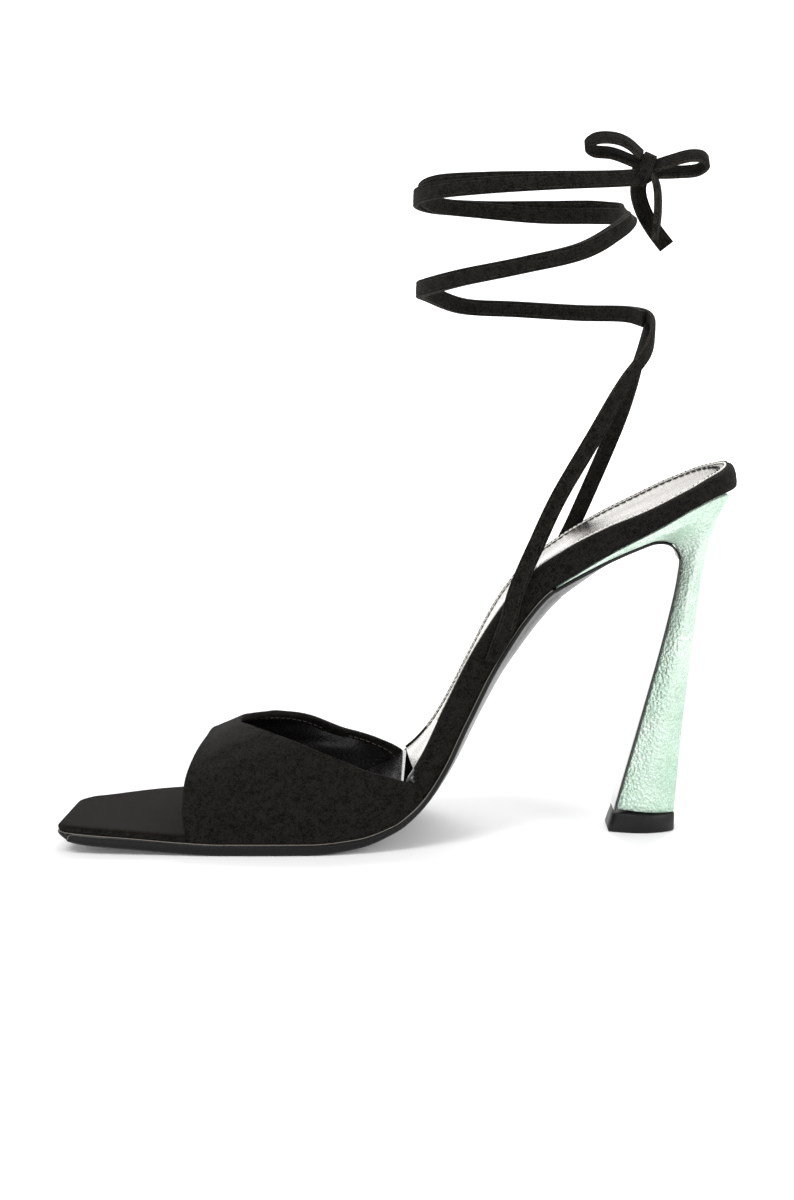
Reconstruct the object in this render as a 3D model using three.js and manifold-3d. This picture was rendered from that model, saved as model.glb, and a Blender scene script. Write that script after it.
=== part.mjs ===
// A high-heeled wrap sandal for the right foot, in millimetres, +Z up.
// The toe points along -X, the heel along +X, and the inner (medial) side of the foot is -Y.
// The shoe stands on its tread and its heel tip at Z = 0, and the origin is the centre of its footprint box.
import * as THREE from "three";
import { mergeVertices } from "three/addons/utils/BufferGeometryUtils.js";
import Module from "manifold-3d";

const wasm = await Module();
wasm.setup();

// Driving sizes of the last
const SHOE_LENGTH = 219;
const BALL_WIDTH = 79.4;
const WAIST_WIDTH = 49;
const SEAT_WIDTH = 49.2;
const SEAT_LIFT = 109.8;
const TOE_SPRING = 3.5;
const TOE_CORNER = 4;
const TOE_SKEW = 0.085;
const SEAT_ROUND = 26;

// Driving sizes of the pieces
const SOLE_THICKNESS = 3.6;
const BOARD_FRONT = 2.4;
const BAND_THICKNESS = 8.4;
const BED_DISH = 0.8;
const SOCK_THICKNESS = 0.8;
const SOCK_INSET = 3.3;
const VAMP_HEIGHT = 35;
const VAMP_WALL = 2;
const FIT_GAP = 0.3;
const STRAP_WIDTH = 5.3;
const STRAP_THICKNESS = 1.7;
const WRAP_DEPTH = 72;
const WRAP_WIDTH = 62;
const WRAP_HEIGHT = 211;
const BOW_LENGTH = 40;
const BOW_HEIGHT = 10;
const TAIL_LENGTH = 22;
const HEEL_TIP_THICKNESS = 6.2;
const HEEL_BOTTOM_LENGTH = 19.2;
const HEEL_BOTTOM_WIDTH = 20.4;
const HEEL_NECK_WIDTH = 18.6;

// Places that several pieces share
const TOE_X = -SHOE_LENGTH / 2;
const BACK_X = SHOE_LENGTH / 2;
const BOARD_BASE = SOLE_THICKNESS + FIT_GAP;
const MEDIAL = -1;
const LATERAL = 1;
const DEGREE = Math.PI / 180;

// The last, from toe to seat. at: share of the length. spring and rise: shares of the toe spring and
// of the seat's lift. medial and lateral: shares of the width named in the row.
const LAST = [
  { at: 0.0, spring: 1, rise: 0, width: BALL_WIDTH, medial: 0.451, lateral: 0.019 },
  { at: 0.009, spring: 0.95, rise: 0, width: BALL_WIDTH, medial: 0.457, lateral: 0.045 },
  { at: 0.021, spring: 0.88, rise: 0, width: BALL_WIDTH, medial: 0.462, lateral: 0.083 },
  { at: 0.048, spring: 0.74, rise: 0, width: BALL_WIDTH, medial: 0.471, lateral: 0.141 },
  { at: 0.085, spring: 0.6, rise: 0, width: BALL_WIDTH, medial: 0.479, lateral: 0.217 },
  { at: 0.13, spring: 0.4, rise: 0, width: BALL_WIDTH, medial: 0.485, lateral: 0.317 },
  { at: 0.178, spring: 0.17, rise: 0, width: BALL_WIDTH, medial: 0.491, lateral: 0.403 },
  { at: 0.24, spring: 0, rise: 0, width: BALL_WIDTH, medial: 0.499, lateral: 0.461 },
  { at: 0.304, spring: 0, rise: 0, width: BALL_WIDTH, medial: 0.5, lateral: 0.489 },
  { at: 0.368, spring: 0, rise: 0, width: BALL_WIDTH, medial: 0.496, lateral: 0.5 },
  { at: 0.435, spring: 0, rise: 0.01, width: BALL_WIDTH, medial: 0.47, lateral: 0.497 },
  { at: 0.491, spring: 0, rise: 0.04, width: BALL_WIDTH, medial: 0.424, lateral: 0.477 },
  { at: 0.516, spring: 0, rise: 0.0683, width: BALL_WIDTH, medial: 0.397, lateral: 0.458 },
  { at: 0.5395, spring: 0, rise: 0.1093, width: BALL_WIDTH, medial: 0.37, lateral: 0.436 },
  { at: 0.5705, spring: 0, rise: 0.1913, width: WAIST_WIDTH, medial: 0.553, lateral: 0.651 },
  { at: 0.6053, spring: 0, rise: 0.3233, width: WAIST_WIDTH, medial: 0.518, lateral: 0.592 },
  { at: 0.637, spring: 0, rise: 0.4526, width: WAIST_WIDTH, medial: 0.504, lateral: 0.549 },
  { at: 0.6646, spring: 0, rise: 0.5546, width: WAIST_WIDTH, medial: 0.496, lateral: 0.527 },
  { at: 0.687, spring: 0, rise: 0.6257, width: WAIST_WIDTH, medial: 0.492, lateral: 0.514 },
  { at: 0.719, spring: 0, rise: 0.7013, width: WAIST_WIDTH, medial: 0.492, lateral: 0.508 },
  { at: 0.7646, spring: 0, rise: 0.766, width: SEAT_WIDTH, medial: 0.494, lateral: 0.504 },
  { at: 0.818, spring: 0, rise: 0.8343, width: SEAT_WIDTH, medial: 0.498, lateral: 0.502 },
  { at: 0.8724, spring: 0, rise: 0.8962, width: SEAT_WIDTH, medial: 0.5, lateral: 0.5 },
  { at: 0.9285, spring: 0, rise: 0.9581, width: SEAT_WIDTH, medial: 0.5, lateral: 0.5 },
  { at: 0.9678, spring: 0, rise: 0.9882, width: SEAT_WIDTH, medial: 0.5, lateral: 0.5 },
  { at: 1.0, spring: 0, rise: 1, width: SEAT_WIDTH, medial: 0.5, lateral: 0.5 },
];
// What lies on and under the last. bed: the footbed's thickness as a share of the band's.
// bank: the tilt towards the lateral side, in degrees. edge and belly: the sole's thickness at its
// edge and middle, as shares of its thickness in front.
const LAYERS = [
  { at: 0.0, bed: 0, bank: 0, edge: 0.3, belly: 0.4 },
  { at: 0.009, bed: 0, bank: 0, edge: 0.5, belly: 0.7 },
  { at: 0.021, bed: 0, bank: 0, edge: 0.82, belly: 0.95 },
  { at: 0.048, bed: 0, bank: 0, edge: 0.97, belly: 1 },
  { at: 0.085, bed: 0, bank: 0, edge: 1, belly: 1 },
  { at: 0.13, bed: 0, bank: 0, edge: 1, belly: 1 },
  { at: 0.178, bed: 0, bank: 0, edge: 1, belly: 1 },
  { at: 0.24, bed: 0, bank: 0, edge: 1, belly: 1 },
  { at: 0.304, bed: 0, bank: 0, edge: 1, belly: 1 },
  { at: 0.368, bed: 0.12, bank: 0, edge: 1, belly: 1 },
  { at: 0.435, bed: 0.45, bank: 0, edge: 0.85, belly: 1 },
  { at: 0.491, bed: 0.8, bank: 0.5, edge: 0.62, belly: 1 },
  { at: 0.516, bed: 0.92, bank: 1.2, edge: 0.53, belly: 0.97 },
  { at: 0.5395, bed: 1, bank: 2, edge: 0.46, belly: 0.92 },
  { at: 0.5705, bed: 1, bank: 3.6, edge: 0.4, belly: 0.84 },
  { at: 0.6053, bed: 1, bank: 5.2, edge: 0.38, belly: 0.8 },
  { at: 0.637, bed: 1, bank: 5.4, edge: 0.38, belly: 0.96 },
  { at: 0.6646, bed: 1, bank: 4.4, edge: 0.37, belly: 1.28 },
  { at: 0.687, bed: 0.99, bank: 3.8, edge: 0.36, belly: 1.45 },
  { at: 0.719, bed: 0.99, bank: 3.5, edge: 0.34, belly: 1.53 },
  { at: 0.7646, bed: 1, bank: 2.8, edge: 0.3, belly: 1.2 },
  { at: 0.818, bed: 0.87, bank: 1.6, edge: 0.3, belly: 0.6 },
  { at: 0.8724, bed: 0.68, bank: 0.2, edge: 0.3, belly: 0.4 },
  { at: 0.9285, bed: 0.57, bank: 0, edge: 0.3, belly: 0.4 },
  { at: 0.9678, bed: 0.7, bank: 0, edge: 0.3, belly: 0.4 },
  { at: 1.0, bed: 1.03, bank: 0, edge: 0.3, belly: 0.4 },
];

// A smooth function through rows of numbers that never swings past them and runs on straight beyond.
function through(rows, at, value) {
  const xs = rows.map(at);
  const ys = rows.map(value);
  const last = xs.length - 1;
  const rate = xs.slice(1).map((x, i) => (ys[i + 1] - ys[i]) / (x - xs[i]));
  const slope = xs.map((x, i) => {
    if (i === 0) return rate[0];
    if (i === last) return rate[last - 1];
    if (rate[i - 1] * rate[i] <= 0) return 0;
    return (2 * rate[i - 1] * rate[i]) / (rate[i - 1] + rate[i]);
  });
  return (x) => {
    const inside = THREE.MathUtils.clamp(x, xs[0], xs[last]);
    let i = 0;
    while (i < last - 1 && inside > xs[i + 1]) i += 1;
    const span = xs[i + 1] - xs[i];
    const s = (inside - xs[i]) / span;
    const rise = ys[i + 1] - ys[i];
    const bend = s * (1 - s) * (span * ((1 - s) * slope[i] - s * slope[i + 1]) + rise * (2 * s - 1));
    return ys[i] + s * rise + bend + (x - inside) * slope[inside > xs[0] ? last : 0];
  };
}

const lastX = (row) => TOE_X + row.at * SHOE_LENGTH;
const lastColumn = (value) => through(LAST, lastX, value);
const layerColumn = (value) => through(LAYERS, lastX, value);
const medialHalf = lastColumn((row) => row.medial * row.width);
const lateralHalf = lastColumn((row) => row.lateral * row.width);
const boardHeight = lastColumn((row) => BOARD_BASE + row.spring * TOE_SPRING + row.rise * SEAT_LIFT);
const bedThickness = layerColumn((row) => BOARD_FRONT + row.bed * (BAND_THICKNESS - BOARD_FRONT));
const bankAngle = layerColumn((row) => row.bank * DEGREE);
const soleEdge = layerColumn((row) => row.edge * SOLE_THICKNESS);
const soleBelly = layerColumn((row) => row.belly * SOLE_THICKNESS);
const halfOn = (side, x) => (side === MEDIAL ? medialHalf(x) : lateralHalf(x));

// The toe's front edge runs back a little from the medial corner to the lateral one.
const skewAt = (x) => TOE_SKEW * (1 - THREE.MathUtils.smoothstep(x - TOE_X, 0, TOE_CORNER * 6));

// A point of the last: x along it, y across it, and lift above the board's underside.
function onLast(x, y, lift) {
  const step = 0.5;
  const angle = Math.atan((boardHeight(x + step) - boardHeight(x - step)) / (2 * step));
  const up = lift - y * Math.tan(bankAngle(x));
  const along = x - Math.sin(angle) * up + skewAt(x) * (y + medialHalf(x));
  return new THREE.Vector3(along, y, boardHeight(x) + Math.cos(angle) * up);
}

// Sections across the last: round toe corners, evenly spaced body sections, and a round seat.
const seatStartX = BACK_X - SEAT_ROUND;
const toeStations = [0, 30, 60, 90].map((angle) => ({ toe: angle * DEGREE }));
const seatStations = [15, 30, 43, 55, 66, 76, 85].map((angle) => ({ seat: angle * DEGREE }));

function bodyStations(fromX, toX, count) {
  const marks = 400;
  const line = [];
  for (let i = 0; i <= marks; i += 1) {
    const x = THREE.MathUtils.lerp(fromX, toX, i / marks);
    line.push(new THREE.Vector3(x, 0, boardHeight(x)));
  }
  const path = new THREE.CurvePath();
  line.slice(1).forEach((point, i) => path.add(new THREE.LineCurve3(line[i], point)));
  return path.getSpacedPoints(count).map((point) => ({ x: point.x }));
}

// The body's sections, which sole and footbed share. The sock's bed starts in a short step.
const SOCK_FRONT_X = TOE_X + 0.534 * SHOE_LENGTH;
const frontStations = bodyStations(TOE_X + TOE_CORNER + 2, SOCK_FRONT_X - 2 * FIT_GAP, 18);
const rearStations = bodyStations(SOCK_FRONT_X - FIT_GAP, seatStartX, 23);

function outline(station, side, inset) {
  if (station.toe !== undefined) {
    const x = TOE_X + inset + TOE_CORNER * (1 - Math.cos(station.toe));
    return { x, y: side * (halfOn(side, x) - inset - TOE_CORNER * (1 - Math.sin(station.toe))) };
  }
  if (station.seat !== undefined) {
    const x = seatStartX + (BACK_X + 0.3 - inset - seatStartX) * Math.sin(station.seat);
    return { x, y: side * (halfOn(side, seatStartX) - inset) * Math.cos(station.seat) };
  }
  return { x: station.x, y: side * (halfOn(side, station.x) - inset) };
}

// A closed body through rings of equal counts, with flat fans or strips closing its two ends.
function loft(rings, ends = "fan") {
  const count = rings[0].length;
  const points = rings.flat();
  const faces = [];
  const quad = (a, b, c, d) => faces.push([a, b, c], [a, c, d]);
  for (let r = 0; r + 1 < rings.length; r += 1) {
    for (let k = 0; k < count; k += 1) {
      const next = (k + 1) % count;
      quad(r * count + k, r * count + next, (r + 1) * count + next, (r + 1) * count + k);
    }
  }
  const close = (start, turned) => {
    const add = (a, b, c) => faces.push(turned ? [a, b, c] : [a, c, b]);
    if (ends === "strip") {
      for (let k = 0; k < count / 2 - 1; k += 1) {
        if (k + 1 < count - 2 - k) add(start + k, start + k + 1, start + count - 2 - k);
        add(start + k, start + count - 2 - k, start + count - 1 - k);
      }
      return;
    }
    const middle = new THREE.Vector3();
    for (let k = 0; k < count; k += 1) middle.addScaledVector(points[start + k], 1 / count);
    points.push(middle);
    for (let k = 0; k < count; k += 1) add(start + k, start + ((k + 1) % count), points.length - 1);
  };
  close(0, false);
  close((rings.length - 1) * count, true);
  let volume = 0;
  for (const [a, b, c] of faces) {
    volume += points[a].dot(new THREE.Vector3().crossVectors(points[b], points[c]));
  }
  const order = volume < 0 ? faces.map(([a, b, c]) => [a, c, b]) : faces;
  return new THREE.BufferGeometry().setFromPoints(points).setIndex(order.flat());
}

function toSolid(geometry) {
  const bare = geometry.clone();
  bare.deleteAttribute("normal");
  bare.deleteAttribute("uv");
  const merged = mergeVertices(bare, 1e-4);
  const vertProperties = Float32Array.from(merged.attributes.position.array);
  const triVerts = Uint32Array.from(merged.index.array);
  return new wasm.Manifold(new wasm.Mesh({ numProp: 3, vertProperties, triVerts }));
}

function toGeometry(solid) {
  const mesh = solid.getMesh();
  const positions = new THREE.BufferAttribute(Float32Array.from(mesh.vertProperties), 3);
  const geometry = new THREE.BufferGeometry().setAttribute("position", positions);
  return geometry.setIndex(Array.from(mesh.triVerts));
}

const joined = (geometries) => toGeometry(geometries.map(toSolid).reduce((all, one) => all.add(one)));

// Vamp: one wide band over the toes. at: share of the length. height: share of the vamp's height.
const VAMP_CREST = [
  { at: 0.175, height: 0.73 },
  { at: 0.208, height: 0.79 },
  { at: 0.254, height: 0.92 },
  { at: 0.295, height: 1 },
  { at: 0.359, height: 1.1 },
  { at: 0.45, height: 1.2 },
  { at: 0.54, height: 1.22 },
];
// Its front and rear edges, from the medial foot of the band over the top to the lateral foot.
// turn: degrees round the section. front and rear: shares of the length.
const VAMP_EDGES = [
  { turn: 0, front: 0.192, rear: 0.5375 },
  { turn: 5, front: 0.188, rear: 0.533 },
  { turn: 9, front: 0.186, rear: 0.522 },
  { turn: 17, front: 0.184, rear: 0.4954 },
  { turn: 29, front: 0.184, rear: 0.4406 },
  { turn: 42, front: 0.186, rear: 0.386 },
  { turn: 61, front: 0.194, rear: 0.315 },
  { turn: 75, front: 0.202, rear: 0.281 },
  { turn: 90, front: 0.21, rear: 0.26 },
  { turn: 105, front: 0.213, rear: 0.27 },
  { turn: 120, front: 0.213, rear: 0.304 },
  { turn: 135, front: 0.212, rear: 0.358 },
  { turn: 150, front: 0.21, rear: 0.411 },
  { turn: 160, front: 0.21, rear: 0.465 },
  { turn: 170, front: 0.211, rear: 0.503 },
  { turn: 180, front: 0.215, rear: 0.519 },
];
const VAMP_ROUNDNESS = 2.3;
const vampHeight = through(VAMP_CREST, lastX, (row) => row.height * VAMP_HEIGHT);
const vampFront = through(VAMP_EDGES, (row) => row.turn * DEGREE, (row) => TOE_X + row.front * SHOE_LENGTH);
const vampRear = through(VAMP_EDGES, (row) => row.turn * DEGREE, (row) => TOE_X + row.rear * SHOE_LENGTH);

function onVamp(x, turn, inset) {
  const side = turn < Math.PI / 2 ? MEDIAL : LATERAL;
  const power = 2 / VAMP_ROUNDNESS;
  const across = Math.abs(Math.cos(turn)) ** power;
  const up = Math.sin(turn) ** power;
  const y = side * (halfOn(side, x) - FIT_GAP - inset) * across;
  const point = onLast(x, y, 0);
  point.z += (vampHeight(x) - inset) * up;
  return point;
}

function vampRings({ outer, inner, longer, lower }) {
  const turns = 22;
  const steps = 14;
  const rings = [];
  for (let j = 0; j <= turns; j += 1) {
    const turn = (j / turns - 0.06 * Math.sin((2 * Math.PI * j) / turns)) * Math.PI;
    const fromX = vampFront(turn) - longer;
    const toX = vampRear(turn) + longer;
    const ring = [];
    const add = (i, inset) => {
      const point = onVamp(THREE.MathUtils.lerp(fromX, toX, i / steps), turn, inset);
      if (j === 0 || j === turns) point.z -= lower;
      ring.push(point);
    };
    for (let i = 0; i <= steps; i += 1) add(i, outer);
    for (let i = steps; i >= 0; i -= 1) add(i, inner);
    rings.push(ring);
  }
  return rings;
}

const makeVamp = () => loft(vampRings({ outer: 0, inner: VAMP_WALL, longer: 0, lower: 0 }), "strip");

// Footbed: the board and its rolled suede cover, with a shallow bed for the sock behind the vamp.
const SOCK_BED = SOCK_THICKNESS + FIT_GAP;
const bedDish = (x) => BED_DISH * THREE.MathUtils.smoothstep(x, SOCK_FRONT_X, SOCK_FRONT_X + 20);
// The band's side, from its foot to its rim. inset: millimetres in from the outline of the band at
// full thickness. height: share of the thickness.
const BAND_SIDE = [
  { inset: 1.3, height: 0 },
  { inset: 0.25, height: 0.14 },
  { inset: 0, height: 0.5 },
  { inset: 0.45, height: 0.8 },
  { inset: 1.4, height: 0.95 },
  { inset: 2.6, height: 1 },
];

function makeFootbed() {
  const stations = [...toeStations, ...frontStations, ...rearStations, ...seatStations];
  const rings = stations.map((station) => {
    const around = (side) => {
      const points = BAND_SIDE.map((row) => {
        const spot = outline(station, side, row.inset);
        return { ...spot, lift: bedThickness(spot.x) * row.height };
      });
      const rim = outline(station, side, SOCK_INSET - FIT_GAP);
      const bed = rim.x > SOCK_FRONT_X - 1.5 * FIT_GAP ? SOCK_BED : 0;
      points.push({ ...rim, lift: bedThickness(rim.x) - bed });
      return points.map((point) => onLast(point.x, point.y, point.lift));
    };
    const medial = around(MEDIAL);
    const lateral = around(LATERAL).reverse();
    const middle = medial.at(-1).clone().lerp(lateral[0], 0.5);
    middle.z -= bedDish(middle.x);
    return [...medial, middle, ...lateral];
  });
  const room = vampRings({ outer: -3, inner: VAMP_WALL + FIT_GAP, longer: 2 * FIT_GAP, lower: FIT_GAP });
  return toGeometry(toSolid(loft(rings, "strip")).subtract(toSolid(loft(room, "strip"))));
}

// Sock: the metallic lining leather that lies in the footbed.
function makeSock() {
  const body = [{ x: SOCK_FRONT_X }, ...rearStations.slice(1)];
  const rings = [...body, ...seatStations].map((station) => {
    const corner = (side, inset, depth) => {
      const spot = outline(station, side, inset);
      return onLast(spot.x, spot.y, bedThickness(spot.x) - depth);
    };
    const low = [MEDIAL, LATERAL].map((side) => corner(side, SOCK_INSET, SOCK_THICKNESS));
    const high = [MEDIAL, LATERAL].map((side) => corner(side, SOCK_INSET + 0.3, 0));
    const lowMiddle = low[0].clone().lerp(low[1], 0.5);
    const highMiddle = high[0].clone().lerp(high[1], 0.5);
    lowMiddle.z -= bedDish(lowMiddle.x);
    highMiddle.z -= bedDish(lowMiddle.x);
    return [low[0], high[0], highMiddle, high[1], low[1], lowMiddle];
  });
  return loft(rings);
}

// The line under the heel's wedge and down its breast, which the outsole's leather follows.
// at: share of the length. up: share of the heel's height. front: half the width there.
const HEEL_TOP_Z = BOARD_BASE + SEAT_LIFT;
const BREAST = [
  { at: 0.7285, up: 0.7205, half: 0.485, width: WAIST_WIDTH, belly: 1.4 },
  { at: 0.7676, up: 0.7634, half: 0.425, width: WAIST_WIDTH, belly: 1 },
  { at: 0.8041, up: 0.7995, half: 0.335, width: WAIST_WIDTH, belly: 0.6 },
  { at: 0.8429, up: 0.8294, half: 0.25, width: WAIST_WIDTH, belly: 0.36 },
  { at: 0.8799, up: 0.847, half: 0.43, width: HEEL_NECK_WIDTH, belly: 0.26 },
  { at: 0.9023, up: 0.8373, half: 0.36, width: HEEL_NECK_WIDTH, belly: 0.22 },
  { at: 0.9151, up: 0.8012, half: 0.32, width: HEEL_NECK_WIDTH, belly: 0.19 },
  { at: 0.9137, up: 0.7432, half: 0.3, width: HEEL_NECK_WIDTH, belly: 0.19 },
  { at: 0.8959, up: 0.5778, half: 0.3, width: HEEL_NECK_WIDTH, belly: 0.19 },
  { at: 0.8653, up: 0.3544, half: 0.3, width: HEEL_BOTTOM_WIDTH, belly: 0.19 },
  { at: 0.8237, up: 0.0633, half: 0.34, width: HEEL_BOTTOM_WIDTH, belly: 0.19 },
];
const breastLine = new THREE.CatmullRomCurve3(
  BREAST.map((row) => new THREE.Vector3(lastX(row), 0, row.up * HEEL_TOP_Z)),
  false,
  "centripetal",
);
const breastColumn = (value) => through(BREAST, (row) => BREAST.indexOf(row) / (BREAST.length - 1), value);
const breastHalf = breastColumn((row) => row.half * row.width);
const breastBelly = breastColumn((row) => row.belly * SOLE_THICKNESS);

// A point on the breast line: y across it, and out away from the heel.
function onBreast(s, y, out) {
  const point = breastLine.getPoint(s);
  const tangent = breastLine.getTangent(s);
  const away = new THREE.Vector3(tangent.z, 0, -tangent.x);
  const tilt = y * Math.tan(bankAngle(point.x)) * (1 - THREE.MathUtils.smoothstep(s, 0, 0.4));
  point.addScaledVector(away, out + tilt);
  point.y = y;
  return point;
}

// Heel: sections fanned from the breast line to the seat and then to the back edge.
// s: place on the breast line. at, up: the outer point, as shares of the length and the heel's
// height, with no up where it lies under the seat. wide: half the width towards the outer point,
// as a share of the seat's or bottom's width. tail: what is left of it there. round: corner power.
const HEEL_FAN = [
  { s: 0.05, at: 0.7475, wide: 0.485, width: SEAT_WIDTH, tail: 1, round: 4 },
  { s: 0.1, at: 0.772, wide: 0.486, width: SEAT_WIDTH, tail: 1, round: 4 },
  { s: 0.2, at: 0.811, wide: 0.488, width: SEAT_WIDTH, tail: 1, round: 4 },
  { s: 0.3, at: 0.853, wide: 0.49, width: SEAT_WIDTH, tail: 1, round: 4 },
  { s: 0.39, at: 0.893, wide: 0.486, width: SEAT_WIDTH, tail: 1, round: 4 },
  { s: 0.45, at: 0.929, wide: 0.455, width: SEAT_WIDTH, tail: 1, round: 4 },
  { s: 0.5, at: 0.956, wide: 0.4, width: SEAT_WIDTH, tail: 0.94, round: 4 },
  { s: 0.55, at: 0.975, wide: 0.36, width: SEAT_WIDTH, tail: 0.72, round: 4 },
  { s: 0.6, at: 0.982, up: 0.982, wide: 0.33, width: SEAT_WIDTH, tail: 0.35, round: 3.6 },
  { s: 0.64, at: 0.975, up: 0.948, wide: 0.285, width: SEAT_WIDTH, tail: 0.2, round: 3.4 },
  { s: 0.68, at: 0.9665, up: 0.9, wide: 0.245, width: SEAT_WIDTH, tail: 0.16, round: 3.2 },
  { s: 0.715, at: 0.958, up: 0.84, wide: 0.215, width: SEAT_WIDTH, tail: 0.14, round: 3 },
  { s: 0.755, at: 0.948, up: 0.745, wide: 0.2, width: SEAT_WIDTH, tail: 0.14, round: 2.8 },
  { s: 0.8, at: 0.9395, up: 0.6, wide: 0.46, width: HEEL_BOTTOM_WIDTH, tail: 0.14, round: 2.8 },
  { s: 0.85, at: 0.9315, up: 0.468, wide: 0.455, width: HEEL_BOTTOM_WIDTH, tail: 0.14, round: 2.8 },
  { s: 0.9, at: 0.9245, up: 0.343, wide: 0.465, width: HEEL_BOTTOM_WIDTH, tail: 0.14, round: 2.8 },
  { s: 0.95, at: 0.918, up: 0.2, wide: 0.48, width: HEEL_BOTTOM_WIDTH, tail: 0.14, round: 2.8 },
  { s: 0.998, at: 0.912, up: 0.058, wide: 0.5, width: HEEL_BOTTOM_WIDTH, tail: 0.14, round: 2.8 },
];
const heelRows = Array.from({ length: 2 * HEEL_FAN.length - 1 }, (_, i) => i / 2);
const along = (value) => through(HEEL_FAN, (row) => HEEL_FAN.indexOf(row), value);
const breastPlace = along((row) => row.s);
const heelWide = along((row) => row.wide * row.width);
const heelTail = along((row) => row.tail);
const heelRound = along((row) => row.round);
const HEEL_LEVELS = 8;
const HEEL_CORNER = 1.6;

// Half the heel's width at q, from 0 on the breast line to 1 at the outer point.
function heelHalf(row, q) {
  const spread = Math.sin(Math.min(1, q * HEEL_CORNER) * Math.PI * 0.5);
  const fall = (1 - (1 - heelTail(row)) * q ** heelRound(row)) ** (1 / heelRound(row));
  return THREE.MathUtils.lerp(breastHalf(breastPlace(row)), heelWide(row), spread) * fall;
}

// Outsole: tread, arched waist, the skin under the wedge and the flap down the heel's breast.
function makeOutsole() {
  const section = (point, halves, edge, belly) => {
    const side = (sign) => {
      const half = sign < 0 ? halves[0] : halves[1];
      return [
        point(sign, 0, 0),
        point(sign, 0.35, edge * 0.65),
        point(sign, 1.2, edge),
        point(sign, 0.5 * half, edge + (belly - edge) * 0.78),
      ];
    };
    const medial = side(MEDIAL);
    const lateral = side(LATERAL).reverse();
    const low = medial[3].clone().lerp(lateral[0], 0.5);
    const high = medial[0].clone().lerp(lateral[3], 0.5);
    const down = low.clone().sub(high).normalize();
    low.copy(high).addScaledVector(down, belly);
    return [...medial, low, ...lateral, high];
  };
  const wedgeX = lastX(BREAST[0]) - 1;
  const body = [...frontStations, ...rearStations].filter((station) => station.x < wedgeX);
  const rings = [...toeStations, ...body].map((station) => {
    const x = outline(station, MEDIAL, 0).x;
    const point = (sign, inset, depth) => {
      const spot = outline(station, sign, inset);
      return onLast(spot.x, spot.y, -FIT_GAP - depth);
    };
    return section(point, [medialHalf(x), lateralHalf(x)], soleEdge(x), soleBelly(x));
  });
  for (const s of [0, ...heelRows.map(breastPlace), 1]) {
    const half = breastHalf(s);
    const belly = breastBelly(s);
    const edge = Math.min(soleEdge(breastLine.getPoint(s).x), belly);
    const point = (sign, inset, depth) => onBreast(s, sign * (half - Math.min(inset, half / 2)), depth);
    rings.push(section(point, [half, half], edge, belly));
  }
  return loft(rings);
}

function makeHeel() {
  const underSeat = (row) => boardHeight(lastX(row)) - FIT_GAP;
  const outerX = along(lastX);
  const outerZ = along((row) => (row.up === undefined ? underSeat(row) : row.up * HEEL_TOP_Z));
  const seatRows = HEEL_FAN.filter((row) => row.up === undefined).length - 1;
  const rings = [];
  for (const row of heelRows) {
    const s = breastPlace(row);
    const side = (sign) => {
      const points = [];
      for (let level = 0; level <= HEEL_LEVELS; level += 1) {
        const q = level / HEEL_LEVELS;
        const y = sign * heelHalf(row, q);
        const inner = onBreast(s, y, -FIT_GAP);
        const outer = row <= seatRows
          ? onLast(outerX(row), y, -1.4 * FIT_GAP)
          : new THREE.Vector3(outerX(row), y, outerZ(row));
        points.push(inner.lerp(outer, q));
      }
      return points;
    };
    rings.push([...side(MEDIAL), ...side(LATERAL).reverse()]);
  }
  return loft(rings);
}

// Heel tip: a block of hard rubber with the outline of the heel's bottom, a little proud of it.
const TIP_LEVELS = [
  { up: 0, front: 2.3, proud: -0.3 },
  { up: 0.1, front: 2.4, proud: 0.15 },
  { up: 1, front: 0.6, proud: 0.15 },
];

function makeTopPiece() {
  const bottom = heelRows.at(-1);
  const backX = lastX(HEEL_FAN.at(-1));
  const rings = TIP_LEVELS.map((level) => {
    const side = (sign) => {
      const points = [];
      for (let step = 0; step <= HEEL_LEVELS; step += 1) {
        const q = step / HEEL_LEVELS;
        const reach = backX - HEEL_BOTTOM_LENGTH - level.front;
        const x = THREE.MathUtils.lerp(reach, backX + level.proud, q);
        const y = sign * (heelHalf(bottom, q) + level.proud);
        points.push(new THREE.Vector3(x, y, level.up * HEEL_TIP_THICKNESS));
      }
      return points;
    };
    return [...side(MEDIAL), ...side(LATERAL).reverse()];
  });
  return loft(rings);
}

// A flat strap along a path. face(point, s) is the way that its outer face looks.
function ribbon(path, face, sections, width = STRAP_WIDTH) {
  const rings = [];
  for (let i = 0; i <= sections; i += 1) {
    const s = i / sections;
    const middle = path.getPointAt(s);
    const tangent = path.getTangentAt(s);
    const across = new THREE.Vector3().crossVectors(tangent, face(middle, s)).normalize();
    const out = new THREE.Vector3().crossVectors(across, tangent).normalize();
    const corner = (w, t) =>
      middle.clone().addScaledVector(across, w * width).addScaledVector(out, t * STRAP_THICKNESS);
    rings.push([corner(-0.5, -0.5), corner(-0.5, 0.5), corner(0.5, 0.5), corner(0.5, -0.5)]);
  }
  return loft(rings);
}

const smooth = (points) => new THREE.CatmullRomCurve3(points, false, "centripetal");

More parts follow.
